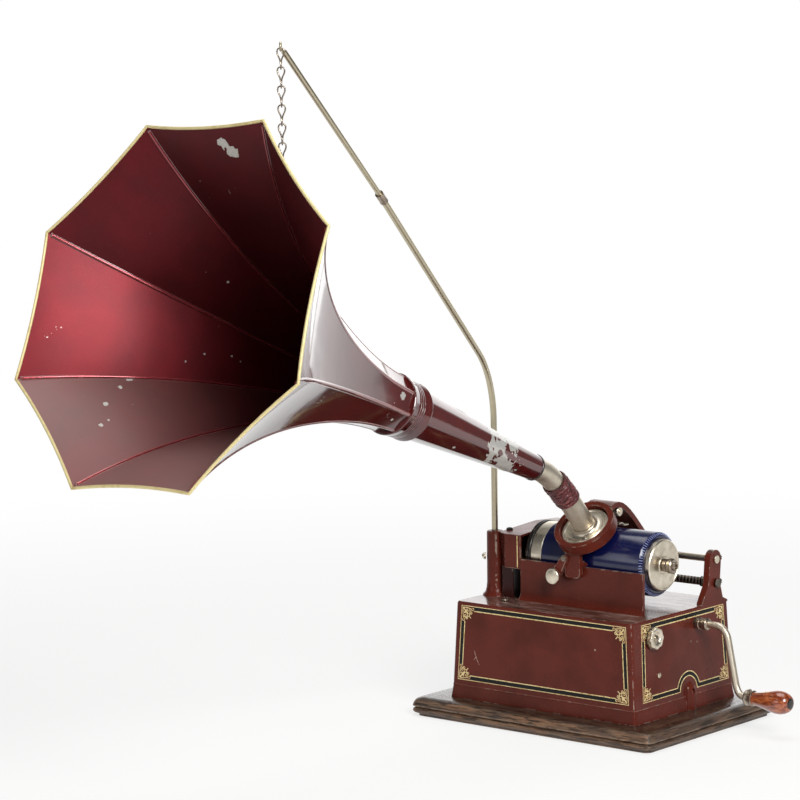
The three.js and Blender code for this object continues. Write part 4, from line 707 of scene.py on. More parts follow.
def copied(name, node):
    """A copy of a solid's mesh, its doubles merged and its flat faces joined"""
    piece = bpy.data.objects.new(name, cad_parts[node].data.copy())
    bpy.context.collection.objects.link(piece)
    activate(piece)
    bpy.ops.object.mode_set(mode="EDIT")
    bpy.ops.mesh.select_all(action="SELECT")
    bpy.ops.mesh.remove_doubles(threshold=MM * 0.01)
    bpy.ops.mesh.dissolve_limited(angle_limit=math.radians(0.5))
    bpy.ops.object.mode_set(mode="OBJECT")
    return piece


def recast(name, node, body, slot, finish, width=0.3 * MM, segments=2):
    """A copy of a solid with its sharp edges rounded, fitted out to stand for it"""
    piece = copied(name, node)
    soften(piece, width, segments)
    return fit_out(piece, body, slot, finish, node)


def joined(name, pieces):
    """Several meshes made one"""
    activate(*pieces)
    if len(pieces) > 1:
        bpy.ops.object.join()
    return named(name)


def ringed(name, piece, places):
    """Copies of a piece in several places made one mesh; the piece itself goes"""
    copies = []
    for place in places:
        copies.append(bpy.data.objects.new(piece.name, piece.data.copy()))
        bpy.context.collection.objects.link(copies[-1])
        settle(copies[-1], place)
    bpy.data.objects.remove(piece)
    return joined(name, copies)


def pick(piece, kind, test):
    """In edit mode, selects the faces or vertices that pass a test"""
    bpy.ops.mesh.select_all(action="DESELECT")
    bpy.ops.mesh.select_mode(type=kind)
    mesh = bmesh.from_edit_mesh(piece.data)
    for part in mesh.verts if kind == "VERT" else mesh.faces:
        part.select = test(part)
    mesh.select_flush_mode()
    bmesh.update_edit_mesh(piece.data)


def pick_faces(piece, test):
    """Selects the faces whose centre and normal pass a test"""
    pick(piece, "FACE", lambda face: test(face.calc_center_median(), face.normal))


def pick_points(piece, test):
    """Selects the vertices whose place passes a test"""
    pick(piece, "VERT", lambda vertex: test(vertex.co))


def fit_out(piece, body, slot, finishes, *nodes):
    """Gives a piece its finishes, body and slot, and the solids that it stands for"""
    piece.data.materials.clear()
    for finish in finishes.split():
        piece.data.materials.append(FINISHES[finish])
    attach(piece, body)
    if nodes:
        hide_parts(*nodes)
    return piece


def dress(finish, *nodes):
    """Gives solids that stay their finish"""
    for node in nodes:
        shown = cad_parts[node]
        if not shown.material_slots:
            shown.data.materials.append(FINISHES[finish])
        for slot in shown.material_slots:
            slot.material = FINISHES[finish]


def bend(start, corner, end, steps):
    """Points of a smooth corner"""
    return [start * (1 - t) ** 2 + corner * 2 * t * (1 - t) + end * t ** 2
            for t in spread(0, 1, steps)]


def slotted_screw(name, place, fit, radius, height, domed=0.6, slot=0.9):
    """A slotted screw's head, its foot at its place"""
    side = height - domed
    head = turned(name, [
        (-1.0, 0), (-1.0, radius), (side, radius), (side + domed * 0.55, radius * 0.84),
        (side + domed * 0.88, radius * 0.5), (height, radius * 0.2), (height, 0)], 48)
    activate()
    bpy.ops.mesh.primitive_cube_add(size=1.0, location=mm(0, 0, height))
    cutter = bpy.context.object
    cutter.scale = mm(radius * 3, slot, height * 0.9)
    settle(cutter)
    modify(head, "BOOLEAN", operation="DIFFERENCE", object=cutter, solver="EXACT")
    bpy.data.objects.remove(cutter)
    smooth(head, 30)
    settle(head, place)
    return fit_out(head, *fit)


# Studio and camera


class PHONO_OT_studio(bpy.types.Operator):
    """Pale floor, soft lamps, white surround and the camera"""
    bl_idname = "phonograph.studio"
    bl_label = "Studio"

    def execute(self, context):
        scene = context.scene
        scene.view_settings.view_transform = "Standard"
        self.add_camera(scene)
        self.add_lamps()
        self.add_surround(scene)
        self.add_floor()
        return {"FINISHED"}

    def add_camera(self, scene):
        turn, rise, roll = (math.radians(a) for a in (39.97, 7.10, -0.86))
        back = Vector((math.sin(turn) * math.cos(rise), -math.cos(turn) * math.cos(rise),
                       math.sin(rise)))
        right = (-back).cross(Vector((0, 0, 1))).normalized()
        up = right.cross(-back)
        level = right * math.cos(roll) + up * math.sin(roll)
        top = up * math.cos(roll) - right * math.sin(roll)
        activate()
        bpy.ops.object.camera_add()
        camera = named("studio_camera")
        camera.matrix_world = pose((1690, -2276, 637), level, top, back)
        camera.data.lens = 146.2
        camera.data.sensor_width = 36.0
        camera.data.clip_end = 50.0
        scene.camera = camera

    def add_lamps(self):
        # Names, places, sizes and powers, in metres and watts
        aim = Vector((0.0, -0.15, 0.22))
        for name, at, size, power in [
                ("key_softbox", (1.9, -1.1, 1.5), 1.1, 53.0),
                ("fill_softbox", (-0.5, -2.6, 1.0), 1.2, 8.5),
                ("top_softbox", (-0.1, 0.1, 2.3), 1.5, 20.0)]:
            activate()
            bpy.ops.object.light_add(type="AREA", location=at)
            lamp = named(name)
            lamp.data.shape = "SQUARE"
            lamp.data.size = size
            lamp.data.energy = power
            lamp.rotation_euler = (aim - Vector(at)).to_track_quat("-Z", "Y").to_euler()

    def add_surround(self, scene):
        scene.world = bpy.data.worlds.new("white_surround")
        scene.world.use_nodes = True
        make = Nodes(scene.world.node_tree)
        toward = make.add("TexCoord").outputs["Generated"]
        # The backdrop behind the machine is bright, and the room in front of it is dim
        facing = make.vectors("DOT_PRODUCT", toward, (-0.64, 0.766, 0.0))
        backdrop = make.ranged(facing, 0.48, 0.97, 0.16, 1.75, "SMOOTHSTEP")
        ceiling = make.ranged(make.parts(toward)["Z"], 0.4, 0.75, 1.0, 0.35, "SMOOTHSTEP")
        level = make.maths("MULTIPLY", backdrop, ceiling)
        room = make.add("Background", {"Color": WHITE, "Strength": level})
        white = make.add("Background", {"Color": WHITE, "Strength": 1.0})
        seen = make.add("LightPath").outputs["Is Camera Ray"]
        make.add("OutputWorld", {"Surface": make.shaders(seen, room, white)})

    def add_floor(self):
        middle = (0.0, -0.2, 0.0)
        activate()
        bpy.ops.mesh.primitive_circle_add(vertices=96, radius=2.2, fill_type="NGON",
                                          location=middle)
        floor = named("studio_floor")
        settle(floor)
        make = Finish("pale_floor_paper")
        # Matt white paper that fades out before its edge shows
        make.surface({"Base Color": linear("f4f3f1"), "Roughness": 0.9, "Specular IOR Level": 0.1})
        fade = make.ranged(make.vectors("DISTANCE", make.place, middle), 0.45, 1.6, 0.72, 1.0,
                           "SMOOTHSTEP")
        clear = make.add("Emission", {"Color": WHITE, "Strength": 1.0})
        path = make.add("LightPath").outputs
        seen = make.strongest(path["Is Camera Ray"], path["Is Glossy Ray"])
        share = make.maths("MULTIPLY", fade, seen)
        make.fill(make.output, {"Surface": make.shaders(share, make.shader, clear)})
        floor.data.materials.append(make.material)


# Board and case


class PHONO_OT_board(bpy.types.Operator):
    """Moulded oak base board"""
    bl_idname = "phonograph.board"
    bl_label = "Base board"

    def execute(self, context):
        board = copied("oak_board", "base_board")
        smooth(board, 40)
        fit_out(board, "machine", "oak", "oak", "base_board")
        return {"FINISHED"}


class PHONO_OT_case(bpy.types.Operator):
    """Cast case with its bed, rail, uprights and pillar"""
    bl_idname = "phonograph.case"
    bl_label = "Case"

    def execute(self, context):
        def on_plinth_edge(point):
            return abs(point.z / MM - PLINTH_TOP) < 0.3

        case = copied("enamelled_case", "case_casting")
        bpy.ops.object.mode_set(mode="EDIT")
        pick_points(case, on_plinth_edge)
        bpy.ops.mesh.duplicate()
        bpy.ops.mesh.separate(type="SELECTED")
        pick_points(case, on_plinth_edge)
        bpy.ops.mesh.bevel(offset=0.5 * MM, segments=2, affect="EDGES")
        # The pillar is slimmer than the CAD's
        middle = mm(*PILLAR, 0)
        pick_points(case, lambda p: (p.z / MM > BED_TOP + 1
                                     and (p.xy - middle.xy).length / MM < 9.6))
        bpy.ops.transform.resize(value=(0.8, 0.8, 1.0), center_override=middle)
        bpy.ops.object.mode_set(mode="OBJECT")
        self.bead(next(piece for piece in context.selected_objects if piece != case))
        soften(case, context.scene.phonograph_sizes.casting_edge)
        fit_out(case, "machine", "enamel", "enamel bed", "case_casting")
        lathe("crane_pillar", spot(-85.6, -28.2, 0), ("machine", "enamel", "enamel"), [
            (103.8, 3.4), (103.8, 11.8), (105.0, 11.3), (107.0, 9.3), (110.5, 8.3), (116.0, 7.7),
            (160.9, 7.5), (161.9, 6.8), (162.2, 3.4)], 72, True, 34)
        # The bed's enamel is on the bed and on the top of the uprights
        for face in case.data.polygons:
            height = face.center.z / MM
            if face.normal.z > 0.6 and (abs(height - BED_TOP) < 1 or height > UPRIGHT_TOP):
                face.material_index = 1
        return {"FINISHED"}

    def bead(self, edge):
        """Fine raised line round the top of the plinth, drawn along the case's own edge, in paler
        enamel as a painted highlight
        """
        activate(edge)
        edge.name = "plinth_bead"
        edge.modifiers.clear()
        bpy.ops.object.convert(target="CURVE")
        line = bpy.context.object.data
        line.bevel_depth = 0.55 * MM
        line.bevel_resolution = 2
        bpy.ops.object.convert(target="MESH")
        edge = bpy.context.object
        smooth(edge, 60)
        fit_out(edge, "machine", "enamel", "bead")


class PHONO_OT_border(bpy.types.Operator):
    """Painted border on the front and right walls: gold, black and gold lines, corner scrolls"""
    bl_idname = "phonograph.border"
    bl_label = "Painted border"

    def execute(self, context):
        sizes = context.scene.phonograph_sizes
        self.gold = sizes.gold_line / MM
        self.band = sizes.black_band / MM
        self.scroll = sizes.scroll / MM
        self.paint("front", [(-93.4, 4.7), (93.9, 4.7), (89.8, 72.0), (-89.3, 72.0)], FRONT_WALL)
        self.paint("right", [(-61.4, 4.7), (68.4, 4.7), (65.2, 72.0), (-58.6, 72.0)], RIGHT_WALL,
                   (6.9, 4.7, 12.4))
        scratch = joined("enamel_scratch", [
            self.line([(-74.6, 32.0), (-73.4, 28.6), (-71.6, 24.4), (-69.0, 20.0)], 0.5, 0.05),
            self.line([(-72.8, 26.8), (-75.8, 23.4)], 0.4, 0.05)])
        settle(scratch, FRONT_WALL)
        fit_out(scratch, "machine", "enamel", "scuff")
        return {"FINISHED"}

    def paint(self, name, corners, place, arch=None):
        """One wall's border, with an arch over its boss where the wall has one"""
        gold_rise, band_rise = 0.11, 0.08
        outer = 0.5 * self.gold
        outline = self.arched(corners, outer, arch, 0) if arch else self.inset(corners, outer)
        gold, band = [self.line(outline, self.gold, gold_rise, True)], []
        for side in range(4):
            for offset, width, rise, group in (
                    (self.gold + self.band / 2, self.band, band_rise, band),
                    (1.5 * self.gold + self.band, self.gold, gold_rise, gold)):
                points = (self.arched(corners, offset, arch, self.scroll) if arch and side == 0
                          else self.side(corners, side, offset))
                group.append(self.line(points, width, rise))
        for side in range(4):
            gold += self.corner_scroll(corners, side)
        for part, pieces, slot, finish in (
                ("gold", gold, "gilt", "gold"), ("black", band, "black", "band")):
            piece = joined(f"{name}_{part}_lines", pieces)
            settle(piece, place)
            smooth(piece, 60)
            fit_out(piece, "machine", slot, finish)

    def inset(self, corners, distance):
        """Corners of the border moved inward"""
        result = []
        for i in range(4):
            here, after, before = (Vector(corners[j % 4]) for j in (i, i + 1, i - 1))
            ahead = (after - here).normalized()
            behind = (before - here).normalized()
            result.append(here + (ahead + behind) * (distance / abs(ahead.cross(behind))))
        return result

    def side(self, corners, index, distance):
        """One side moved inward, cut short where the scrolls stand"""
        start, end = Vector(corners[index]), Vector(corners[(index + 1) % 4])
        ahead = (end - start).normalized()
        inward = Vector((-ahead.y, ahead.x)) * distance
        return [start + inward + ahead * self.scroll, end + inward - ahead * self.scroll]

    def arched(self, corners, distance, arch, trim):
        """The lower side moved inward with its arch over the boss, or the whole border"""
        centre_u, centre_v, radius = arch
        reach = radius + distance
        level = corners[0][1] + distance
        lift = math.asin((level - centre_v) / reach)
        top = [Vector((centre_u - reach * math.cos(a), centre_v + reach * math.sin(a)))
               for a in spread(lift, math.pi - lift, 20)]
        if trim:
            return [Vector((corners[0][0] + trim, level))] + top + [
                Vector((corners[1][0] - trim, level))]
        square = self.inset(corners, distance)
        return [square[0]] + top + square[1:]

    def line(self, points, width, rise, loop=False):
        """A flat painted line on the wall"""
        stroke = drawn("painted_line", [mm(p[0], p[1], 0) for p in points], width * MM / 2, 1, loop)
        stroke.scale = (1, 1, rise / (width / 2))
        settle(stroke)
        return stroke

    def corner_scroll(self, corners, index):
        """Two pairs of curls and a bud about the corner's diagonal"""
        here = Vector(corners[index])
        ahead = (Vector(corners[(index + 1) % 4]) - here).normalized()
        behind = (Vector(corners[index - 1]) - here).normalized()

        def curl(u, v, wide, narrow, start, end):
            points = []
            for t in spread(0, 1, 18):
                angle = math.radians(start + (end - start) * t)
                radius = wide + (narrow - wide) * t
                points.append((u + radius * math.cos(angle), v + radius * math.sin(angle)))
            return points

        strokes = [
            ([(0.14, 0.14), (0.34, 0.34), (0.52, 0.52)], 1.5),
            (curl(0.60, 0.60, 0.09, 0.09, 0, 360), 0.9),
            ([(0.66, 0.66), (0.80, 0.80)], 1.0),
        ]
        pair = [
            (curl(0.36, 0.66, 0.21, 0.05, -130, 300), 0.9),
            (curl(0.80, 0.44, 0.13, 0.04, 250, -120), 0.8),
            (curl(0.20, 0.92, 0.11, 0.04, -80, 260), 0.7),
            ([(0.14, 0.14), (0.13, 0.42), (0.20, 0.82)], 0.9),
            ([(0.20, 0.44), (0.33, 0.40), (0.40, 0.50)], 0.8),
        ]
        strokes += pair + [([(v, u) for u, v in points], width) for points, width in pair]
        return [self.line([here + (ahead * u + behind * v) * self.scroll for u, v in points],
                          width * self.gold * 0.85, 0.12) for points, width in strokes]


class PHONO_OT_cover(bpy.types.Operator):
    """Cast gear cover with its gold line"""
    bl_idname = "phonograph.cover"
    bl_label = "Gear cover"

    def execute(self, context):
        cover = self.shell()
        soften(cover, context.scene.phonograph_sizes.cover_edge, 3)
        fit_out(cover, "machine", "enamel", "carriage", "gear_cover")
        low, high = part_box("gear_cover")
        stripe = drawn("cover_gold_line", [
            Vector((high.x, low.y, 0)) + mm(-3.4, 0, z) for z in (132.6, 160.8)], 0.5 * MM, 1)
        smooth(stripe, 60)
        fit_out(stripe, "machine", "gilt", "gold")
        # Cast web under the cover's front in dark enamel as painted shade, with a black plate
        # behind its right part as painted shade in the dark gap there
        for name, left, right, front, slot, finish in (
                ("cover_web", -73.0, -61.2, -34.6, "enamel", "painted_shade"),
                ("black_shade_plate", -73.0, -51.6, -25.0, "black", "black")):
            web = plate(name, right - left, 29.0, spot((left + right) / 2, front, 118.2, 90, "X"))
            thicken(web, 1.6)
            soften(web, 0.4 * MM)
            fit_out(web, "machine", slot, finish)
        slotted_screw("cover_cap_screw", spot(-74.0, -22.0, 163.2), ("machine", "black", "black"),
                      3.0, 1.8, 1.2, 0.7)
        return {"FINISHED"}

    def shell(self):
        """Flat-topped cover, open below and to the right"""
        left = -77.4
        cover = traced("enamelled_cover", [(left, y, z) for y, z in (
            (-36.0, 131.2), (-36.0, 161.6), (-32.0, 161.9), (-24.0, 162.6), (20.0, 165.4),
            (52.0, 163.6), (77.0, 149.9), (77.0, 104.2), (34.0, 104.2), (34.0, 131.2),
            (-32.0, 131.2))])
        bpy.ops.mesh.edge_face_add()
        bpy.ops.mesh.extrude_region_move(TRANSFORM_OT_translate={"value": mm(26, 0, 0)})
        bpy.ops.mesh.select_all(action="SELECT")
        bpy.ops.mesh.normals_make_consistent(inside=False)
        # The left wall steps in beside the pillar
        pick_points(cover, lambda p: p.x < -70 * MM and p.y < -34 * MM)
        bpy.ops.transform.translate(value=mm(8.6, 0, 0))
        pick_faces(cover, lambda c, n: n.x > 0.9 or n.z < -0.9 or (n.y < -0.9 and c.y > 0))
        bpy.ops.mesh.delete(type="FACE")
        bpy.ops.object.mode_set(mode="OBJECT")
        thicken(cover, 2.0, use_even_offset=True)
        return cover


class PHONO_OT_screws(bpy.types.Operator):
    """Slotted screws on the case, pillar, wall and uprights"""
    bl_idname = "phonograph.screws"
    bl_label = "Screws"

    def execute(self, context):
        recast("bed_screw_head", "bed_screw", "machine", "nickel", "worn")
        recast("crane_clamp_head", "crane_clamp_screw", "machine", "nickel", "nickel")
        slotted_screw("wall_screw.001", spot(98.1, -36.6, 54.2, 90, "Y") @ spot(0, 0, 0, 35),
                      ("machine", "nickel", "nickel"), 2.4, 1.6)
        for name, z in (("guide", GUIDE_Z), ("feed", SCREW_Z)):
            slotted_screw(f"{name}_set_screw", spot(92.5, 61.6, z, -90, "X"),
                          ("machine", "black", "black"), 2.6, 3.2, 0.4, 0.7)
        return {"FINISHED"}


# Mandrel, record and rods


class PHONO_OT_mandrel(bpy.types.Operator):
    """Nickelled mandrel with its flange and shaft"""
    bl_idname = "phonograph.mandrel"
    bl_label = "Mandrel"

    def execute(self, context):
        place = along_x(*AXIS)
        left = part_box("mandrel_shaft")[0].x / MM
        lathe("nickelled_mandrel", place, ("mandrel", "nickel", "nickel", "mandrel"), [
            (-45.0, 4.4), (-45.0, 26.5), (-44.3, 27.2), (-33.6, 27.2), (-32.9, 26.5), (-32.9, 24.4),
            (75.9, 22.7), (79.8, 22.6), (80.7, 21.7), (80.7, 20.9), (80.3, 20.5), (80.3, 8.0),
            (80.7, 7.6), (80.7, 4.4)], 128, True, 28)
        lathe("black_flange", place, ("mandrel", "black", "black", "mandrel_flange"), [
            (-50.3, 4.4), (-50.3, 27.3), (-49.7, 27.9), (-48.5, 27.9), (-48.1, 27.2), (-47.5, 27.2),
            (-47.1, 27.9), (-45.9, 27.9), (-45.3, 27.3), (-45.3, 4.4)], 128, True, 28)
        lathe("shaft_and_nut", place, ("mandrel", "steel", "worn", "mandrel_shaft"), [
            (left, 0), (left, 3.6), (left + 0.4, 4.0), (80.9, 4.0), (81.0, 5.0), (81.4, 5.6),
            (83.9, 5.6), (84.4, 5.0), (84.4, 4.4), (85.9, 4.4), (85.9, 5.9), (86.5, 6.6),
            (90.1, 6.6), (91.0, 5.7), (91.0, 3.9), (92.5, 3.6), (92.8, 3.2), (92.8, 2.2),
            (91.2, 1.9), (91.2, 0)], 64, degrees=28)
        return {"FINISHED"}


class PHONO_OT_record(bpy.types.Operator):
    """Moulded blue cylinder record with a reeded end"""
    bl_idname = "phonograph.record"
    bl_label = "Record"

    def execute(self, context):
        bevel = context.scene.phonograph_sizes.record_bevel / MM
        lathe("moulded_record", along_x(*AXIS), ("record", "wax", "record", "cylinder_record"), [
            (-32.6, 24.7), (-32.6, 27.4), (-32.4, 27.9), (-31.8, 28.2), (74.9 - bevel, 28.2),
            (75.2 - bevel, 28.1), (75.1, 28.15 - bevel), (75.4, 27.6 - bevel), (75.4, 23.4),
            (75.0, 23.0)], 160, True, 25)
        bar = drawn("reeding", [mm(75.2 - bevel + 0.2, 0, 27.9), mm(75.0, 0, 28.3 - bevel)],
                    0.32 * MM, 1)
        ring = ringed("record_reeding", bar, [
            spot(0, *AXIS) @ Matrix.Rotation(2 * math.pi * i / 72, 4, "X") for i in range(72)])
        smooth(ring, 40)
        fit_out(ring, "record", "wax", "reeding")
        return {"FINISHED"}


class PHONO_OT_rods(bpy.types.Operator):
    """Guide rod, feed screw and the carriage's bush"""
    bl_idname = "phonograph.rods"
    bl_label = "Rods"

    def execute(self, context):
        recast("polished_guide_rod", "guide_rod", "machine", "steel", "nickel")
        recast("cut_feed_screw", "feed_screw", "feed", "steel", "thread")
        recast("sliding_bush", "carriage_bush", "carriage", "nickel", "nickel")
        return {"FINISHED"}


class PHONO_OT_motor(bpy.types.Operator):
    """Finishes of the gears, barrel, governor and frame, whose solids stay"""
    bl_idname = "phonograph.motor"
    bl_label = "Motor"

    def execute(self, context):
        dress("brass", "mandrel_gear", "transfer_gear", "idler_gear", "feed_gear", "drive_wheel",
              "spring_barrel", "barrel_lid", "motor_frame", "floating_weight")
        dress("steel", "drive_shaft", "mainspring", "governor", "winding_arbor", "pawl",
              "winding_shaft")
        return {"FINISHED"}


# Knob and crank


class PHONO_OT_knob(bpy.types.Operator):
    """Lobed start and stop knob with its spindle and brake cam"""
    bl_idname = "phonograph.knob"
    bl_label = "Start and stop knob"

    def execute(self, context):
        place = along_x(*KNOB)
        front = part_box("start_stop_knob")[1].x / MM
        back = front - 5.0
        knob = self.lobed(front, back)
        settle(knob, place)
        smooth(knob, 50)
        spindle = copied("knob_spindle", "start_stop_knob")
        bpy.ops.object.mode_set(mode="EDIT")
        bpy.ops.mesh.select_all(action="SELECT")
        bpy.ops.mesh.bisect(plane_co=mm(back + 1.5, 0, 0), plane_no=(1, 0, 0), clear_outer=True,
                            use_fill=True)
        bpy.ops.object.mode_set(mode="OBJECT")
        smooth(spindle, 30)
        fit_out(spindle, "knob", "steel", "steel")
        fit_out(knob, "knob", "nickel", "nickel", "start_stop_knob")
        lathe("knob_hub_ring", place, ("knob", "nickel", "nickel"), [
            (front - 2.3, 0), (front - 2.3, 4.9), (front - 1.5, 4.9), (front - 1.2, 4.6),
            (front - 1.2, 4.0), (front - 1.7, 3.6), (front - 1.7, 0)], 64)
        slotted_screw("knob_screw", place @ spot(0, 0, front - 1.7, 20), ("knob", "steel", "worn"),
                      2.9, 1.6, 0.8, 0.6)
        return {"FINISHED"}

    def lobed(self, front, back):
        """The knob's eight lobes and its dished face, about +Z"""
        activate()
        bpy.ops.mesh.primitive_cylinder_add(vertices=16, radius=10.8 * MM, depth=3.8 * MM,
                                            location=mm(0, 0, (front + back) / 2))
        knob = named("lobed_knob")
        settle(knob)
        bpy.ops.object.mode_set(mode="EDIT")
        pick_points(knob, lambda p: round(math.atan2(p.y, p.x) / (math.pi / 8)) % 2 == 1)
        bpy.ops.transform.resize(value=(0.8, 0.8, 1.0), center_override=mm(0, 0, front))
        pick_faces(knob, lambda c, n: abs(n.z) > 0.9)
        bpy.ops.mesh.inset(thickness=0.7 * MM, depth=0.6 * MM, use_individual=True)
        bpy.ops.mesh.inset(thickness=0.8 * MM, use_individual=True)
        pick_faces(knob, lambda c, n: n.z > 0.9 and c.xy.length < 3 * MM)
        bpy.ops.mesh.inset(thickness=2.4 * MM)
        bpy.ops.mesh.inset(thickness=0.4 * MM)
        bpy.ops.transform.translate(value=(0, 0, -1.8 * MM))
        bpy.ops.object.mode_set(mode="OBJECT")
        modify(knob, "SUBSURF", levels=3, render_levels=3)
        return knob


class PHONO_OT_crank(bpy.types.Operator):
    """Bent crank arm with its hub, ferrule and varnished grip"""
    bl_idname = "phonograph.crank"
    bl_label = "Crank"

    def execute(self, context):
        y, z = CRANK
        foot = z - 59.6
        knee, ankle = mm(127.5, y, z), mm(139.8, y, foot)
        down = (ankle - knee).normalized() * 12 * MM
        rod = drawn("bent_crank_rod", [
            mm(107.7, y, z), *bend(mm(115.5, y, z), knee, knee + down, 14),
            *bend(ankle - down, ankle, mm(147.7, y, foot), 14), mm(149.5, y, foot)], 3.2 * MM, 7)
        smooth(rod, 50)
        lathe("crank_hub", along_x(y, z), ("crank", "nickel", "worn"), [
            (97.71, 0), (97.71, 4.7), (98.2, 5.2), (101.2, 5.2), (101.6, 4.7), (104.6, 4.7),
            (105.0, 5.2), (108.6, 5.2), (109.3, 4.6), (109.71, 3.6), (109.71, 0)], 48)
        pin = drawn("crank_pin", [mm(148.2, y, foot), mm(187.0, y, foot)], 2.3 * MM, 4)
        fit_out(joined("crank_arm_and_pin", [pin, rod]), "crank", "nickel", "dull", "crank_arm")
        place = along_x(y, foot)
        plate_fit = ("grip", "nickel", "worn")
        lathe("grip_ferrule", place, plate_fit, [
            (148.3, 2.8), (148.3, 5.6), (148.9, 6.6), (150.0, 7.0), (150.8, 6.7), (154.6, 6.5),
            (155.4, 6.9), (156.2, 6.9), (156.6, 6.2), (156.6, 2.8)], 64, True, 35)
        lathe("grip_nub", spot(152.5, y, foot + 6.1), plate_fit, [
            (0, 0), (0, 1.4), (1.0, 1.4), (1.6, 0.9), (1.8, 0)], 24, degrees=35)
        lathe("varnished_grip", place, ("grip", "amber_wood", "amber", "crank_grip"), [
            (156.5, 2.8), (156.5, 5.7), (158.5, 5.8), (162.0, 6.3), (167.0, 7.4), (172.0, 8.7),
            (177.0, 9.8), (181.5, 10.4), (185.5, 10.2), (189.0, 9.2), (191.6, 7.8), (193.2, 6.3),
            (193.7, 5.2), (193.7, 4.6), (193.0, 4.4), (193.0, 0), (189.0, 0), (189.0, 2.8)],
            96, True, 50)
        lathe("grip_end_cap", place, ("grip", "black", "black"), [
            (192.5, 0), (192.5, 4.5), (193.6, 5.0), (194.1, 4.4), (194.3, 2.6), (194.3, 0)], 48,
            degrees=40)
        return {"FINISHED"}


# Carriage, reproducer and elbow


class PHONO_OT_carriage(bpy.types.Operator):
    """Enamelled carriage arm with its lift lever and nickel knob"""
    bl_idname = "phonograph.carriage"
    bl_label = "Carriage"

    def execute(self, context):
        recast("enamelled_arm", "carriage_arm", "arm", "enamel", "carriage", 0.9 * MM, 3)
        recast("enamelled_lever", "lift_lever", "lever", "enamel", "carriage", 0.6 * MM)
        low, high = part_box("lift_knob")
        middle = (low + high) / 2
        depth = (high.y - low.y) / MM
        lathe("lever_knob", Matrix.Translation((middle.x, high.y, middle.z)) @ FRONTWARD,
              ("lever", "nickel", "nickel", "lift_knob"), [
                  (0, 0), (0, 6.4), (0.5, 7.0), (depth - 0.7, 7.0), (depth - 0.2, 6.5),
                  (depth - 0.2, 5.6), (depth, 5.2), (depth, 0)], 64)
        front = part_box("lift_lever")[0].y
        slotted_screw("lever_pivot", Matrix.Translation((4 * MM, front, 148 * MM)) @ FRONTWARD,
                      ("lever", "brass", "worn"), 2.6, 1.4, 0.5, 0.7)
        # Knurled screw and bent nickel strip under the arm's arch
        fit = ("arm", "nickel", "nickel")
        lathe("arch_screw", spot(17.6, 6.5, 184.4, 90, "Y"), fit, [
            (0, 0), (0, 1.5), (5.6, 1.5), (5.6, 3.6), (6.1, 4.2), (8.9, 4.2), (9.4, 3.6),
            (9.4, 1.8), (10.2, 1.8), (10.2, 0)], 36)
        strip = plate("arch_strip", 13.0, 5.0, spot(22.5, 5.0, 174.6))
        bpy.ops.object.mode_set(mode="EDIT")
        pick_points(strip, lambda p: p.y > 7 * MM)
        for step in ((0, 3.0, -2.4), (0, 6.0, 0)):
            bpy.ops.mesh.extrude_region_move(TRANSFORM_OT_translate={"value": mm(*step)})
        bpy.ops.object.mode_set(mode="OBJECT")
        thicken(strip, 1.2, offset=0.0)
        soften(strip, 0.3 * MM)
        fit_out(strip, *fit)
        return {"FINISHED"}


class PHONO_OT_reproducer(bpy.types.Operator):
    """Nickelled reproducer"""
    bl_idname = "phonograph.reproducer"
    bl_label = "Reproducer"

    def execute(self, context):
        lathe("nickelled_reproducer", LEANING, ("arm", "nickel", "nickel", "reproducer"), [
            (33.0, 8.8), (33.0, 21.4), (33.6, 22.0), (38.7, 22.0), (39.4, 21.3), (39.4, 19.9),
            (38.9, 19.4), (38.5, 18.9), (38.5, 17.6), (38.8, 17.2), (39.2, 16.9), (39.2, 14.0),
            (39.5, 12.6), (40.4, 11.4), (41.4, 10.9), (42.5, 10.9), (42.8, 10.6), (42.8, 8.8)],
            128, True)
        slotted_screw("reproducer_screw", LEANING @ spot(0, 0, 0, -62) @ spot(14.6, 0, 39.1),
                      ("arm", "nickel", "steel"), 2.4, 1.6, 0.9, 0.6)
        return {"FINISHED"}


def elbow_at(t):
    """A place on the elbow's middle line, from 0 at the reproducer to 1 at the horn"""
    lean = Vector((0, -math.cos(LEAN), math.sin(LEAN)))
    start = mm(CARRIAGE_X, *AXIS) + lean * 43.1 * MM
    end = mm(*HORN_BACK) - AHEAD * 0.3 * MM
    near, far = start + lean * 26 * MM, end - AHEAD * 18 * MM
    return (start * (1 - t) ** 3 + near * 3 * t * (1 - t) ** 2
            + far * 3 * t ** 2 * (1 - t) + end * t ** 3)


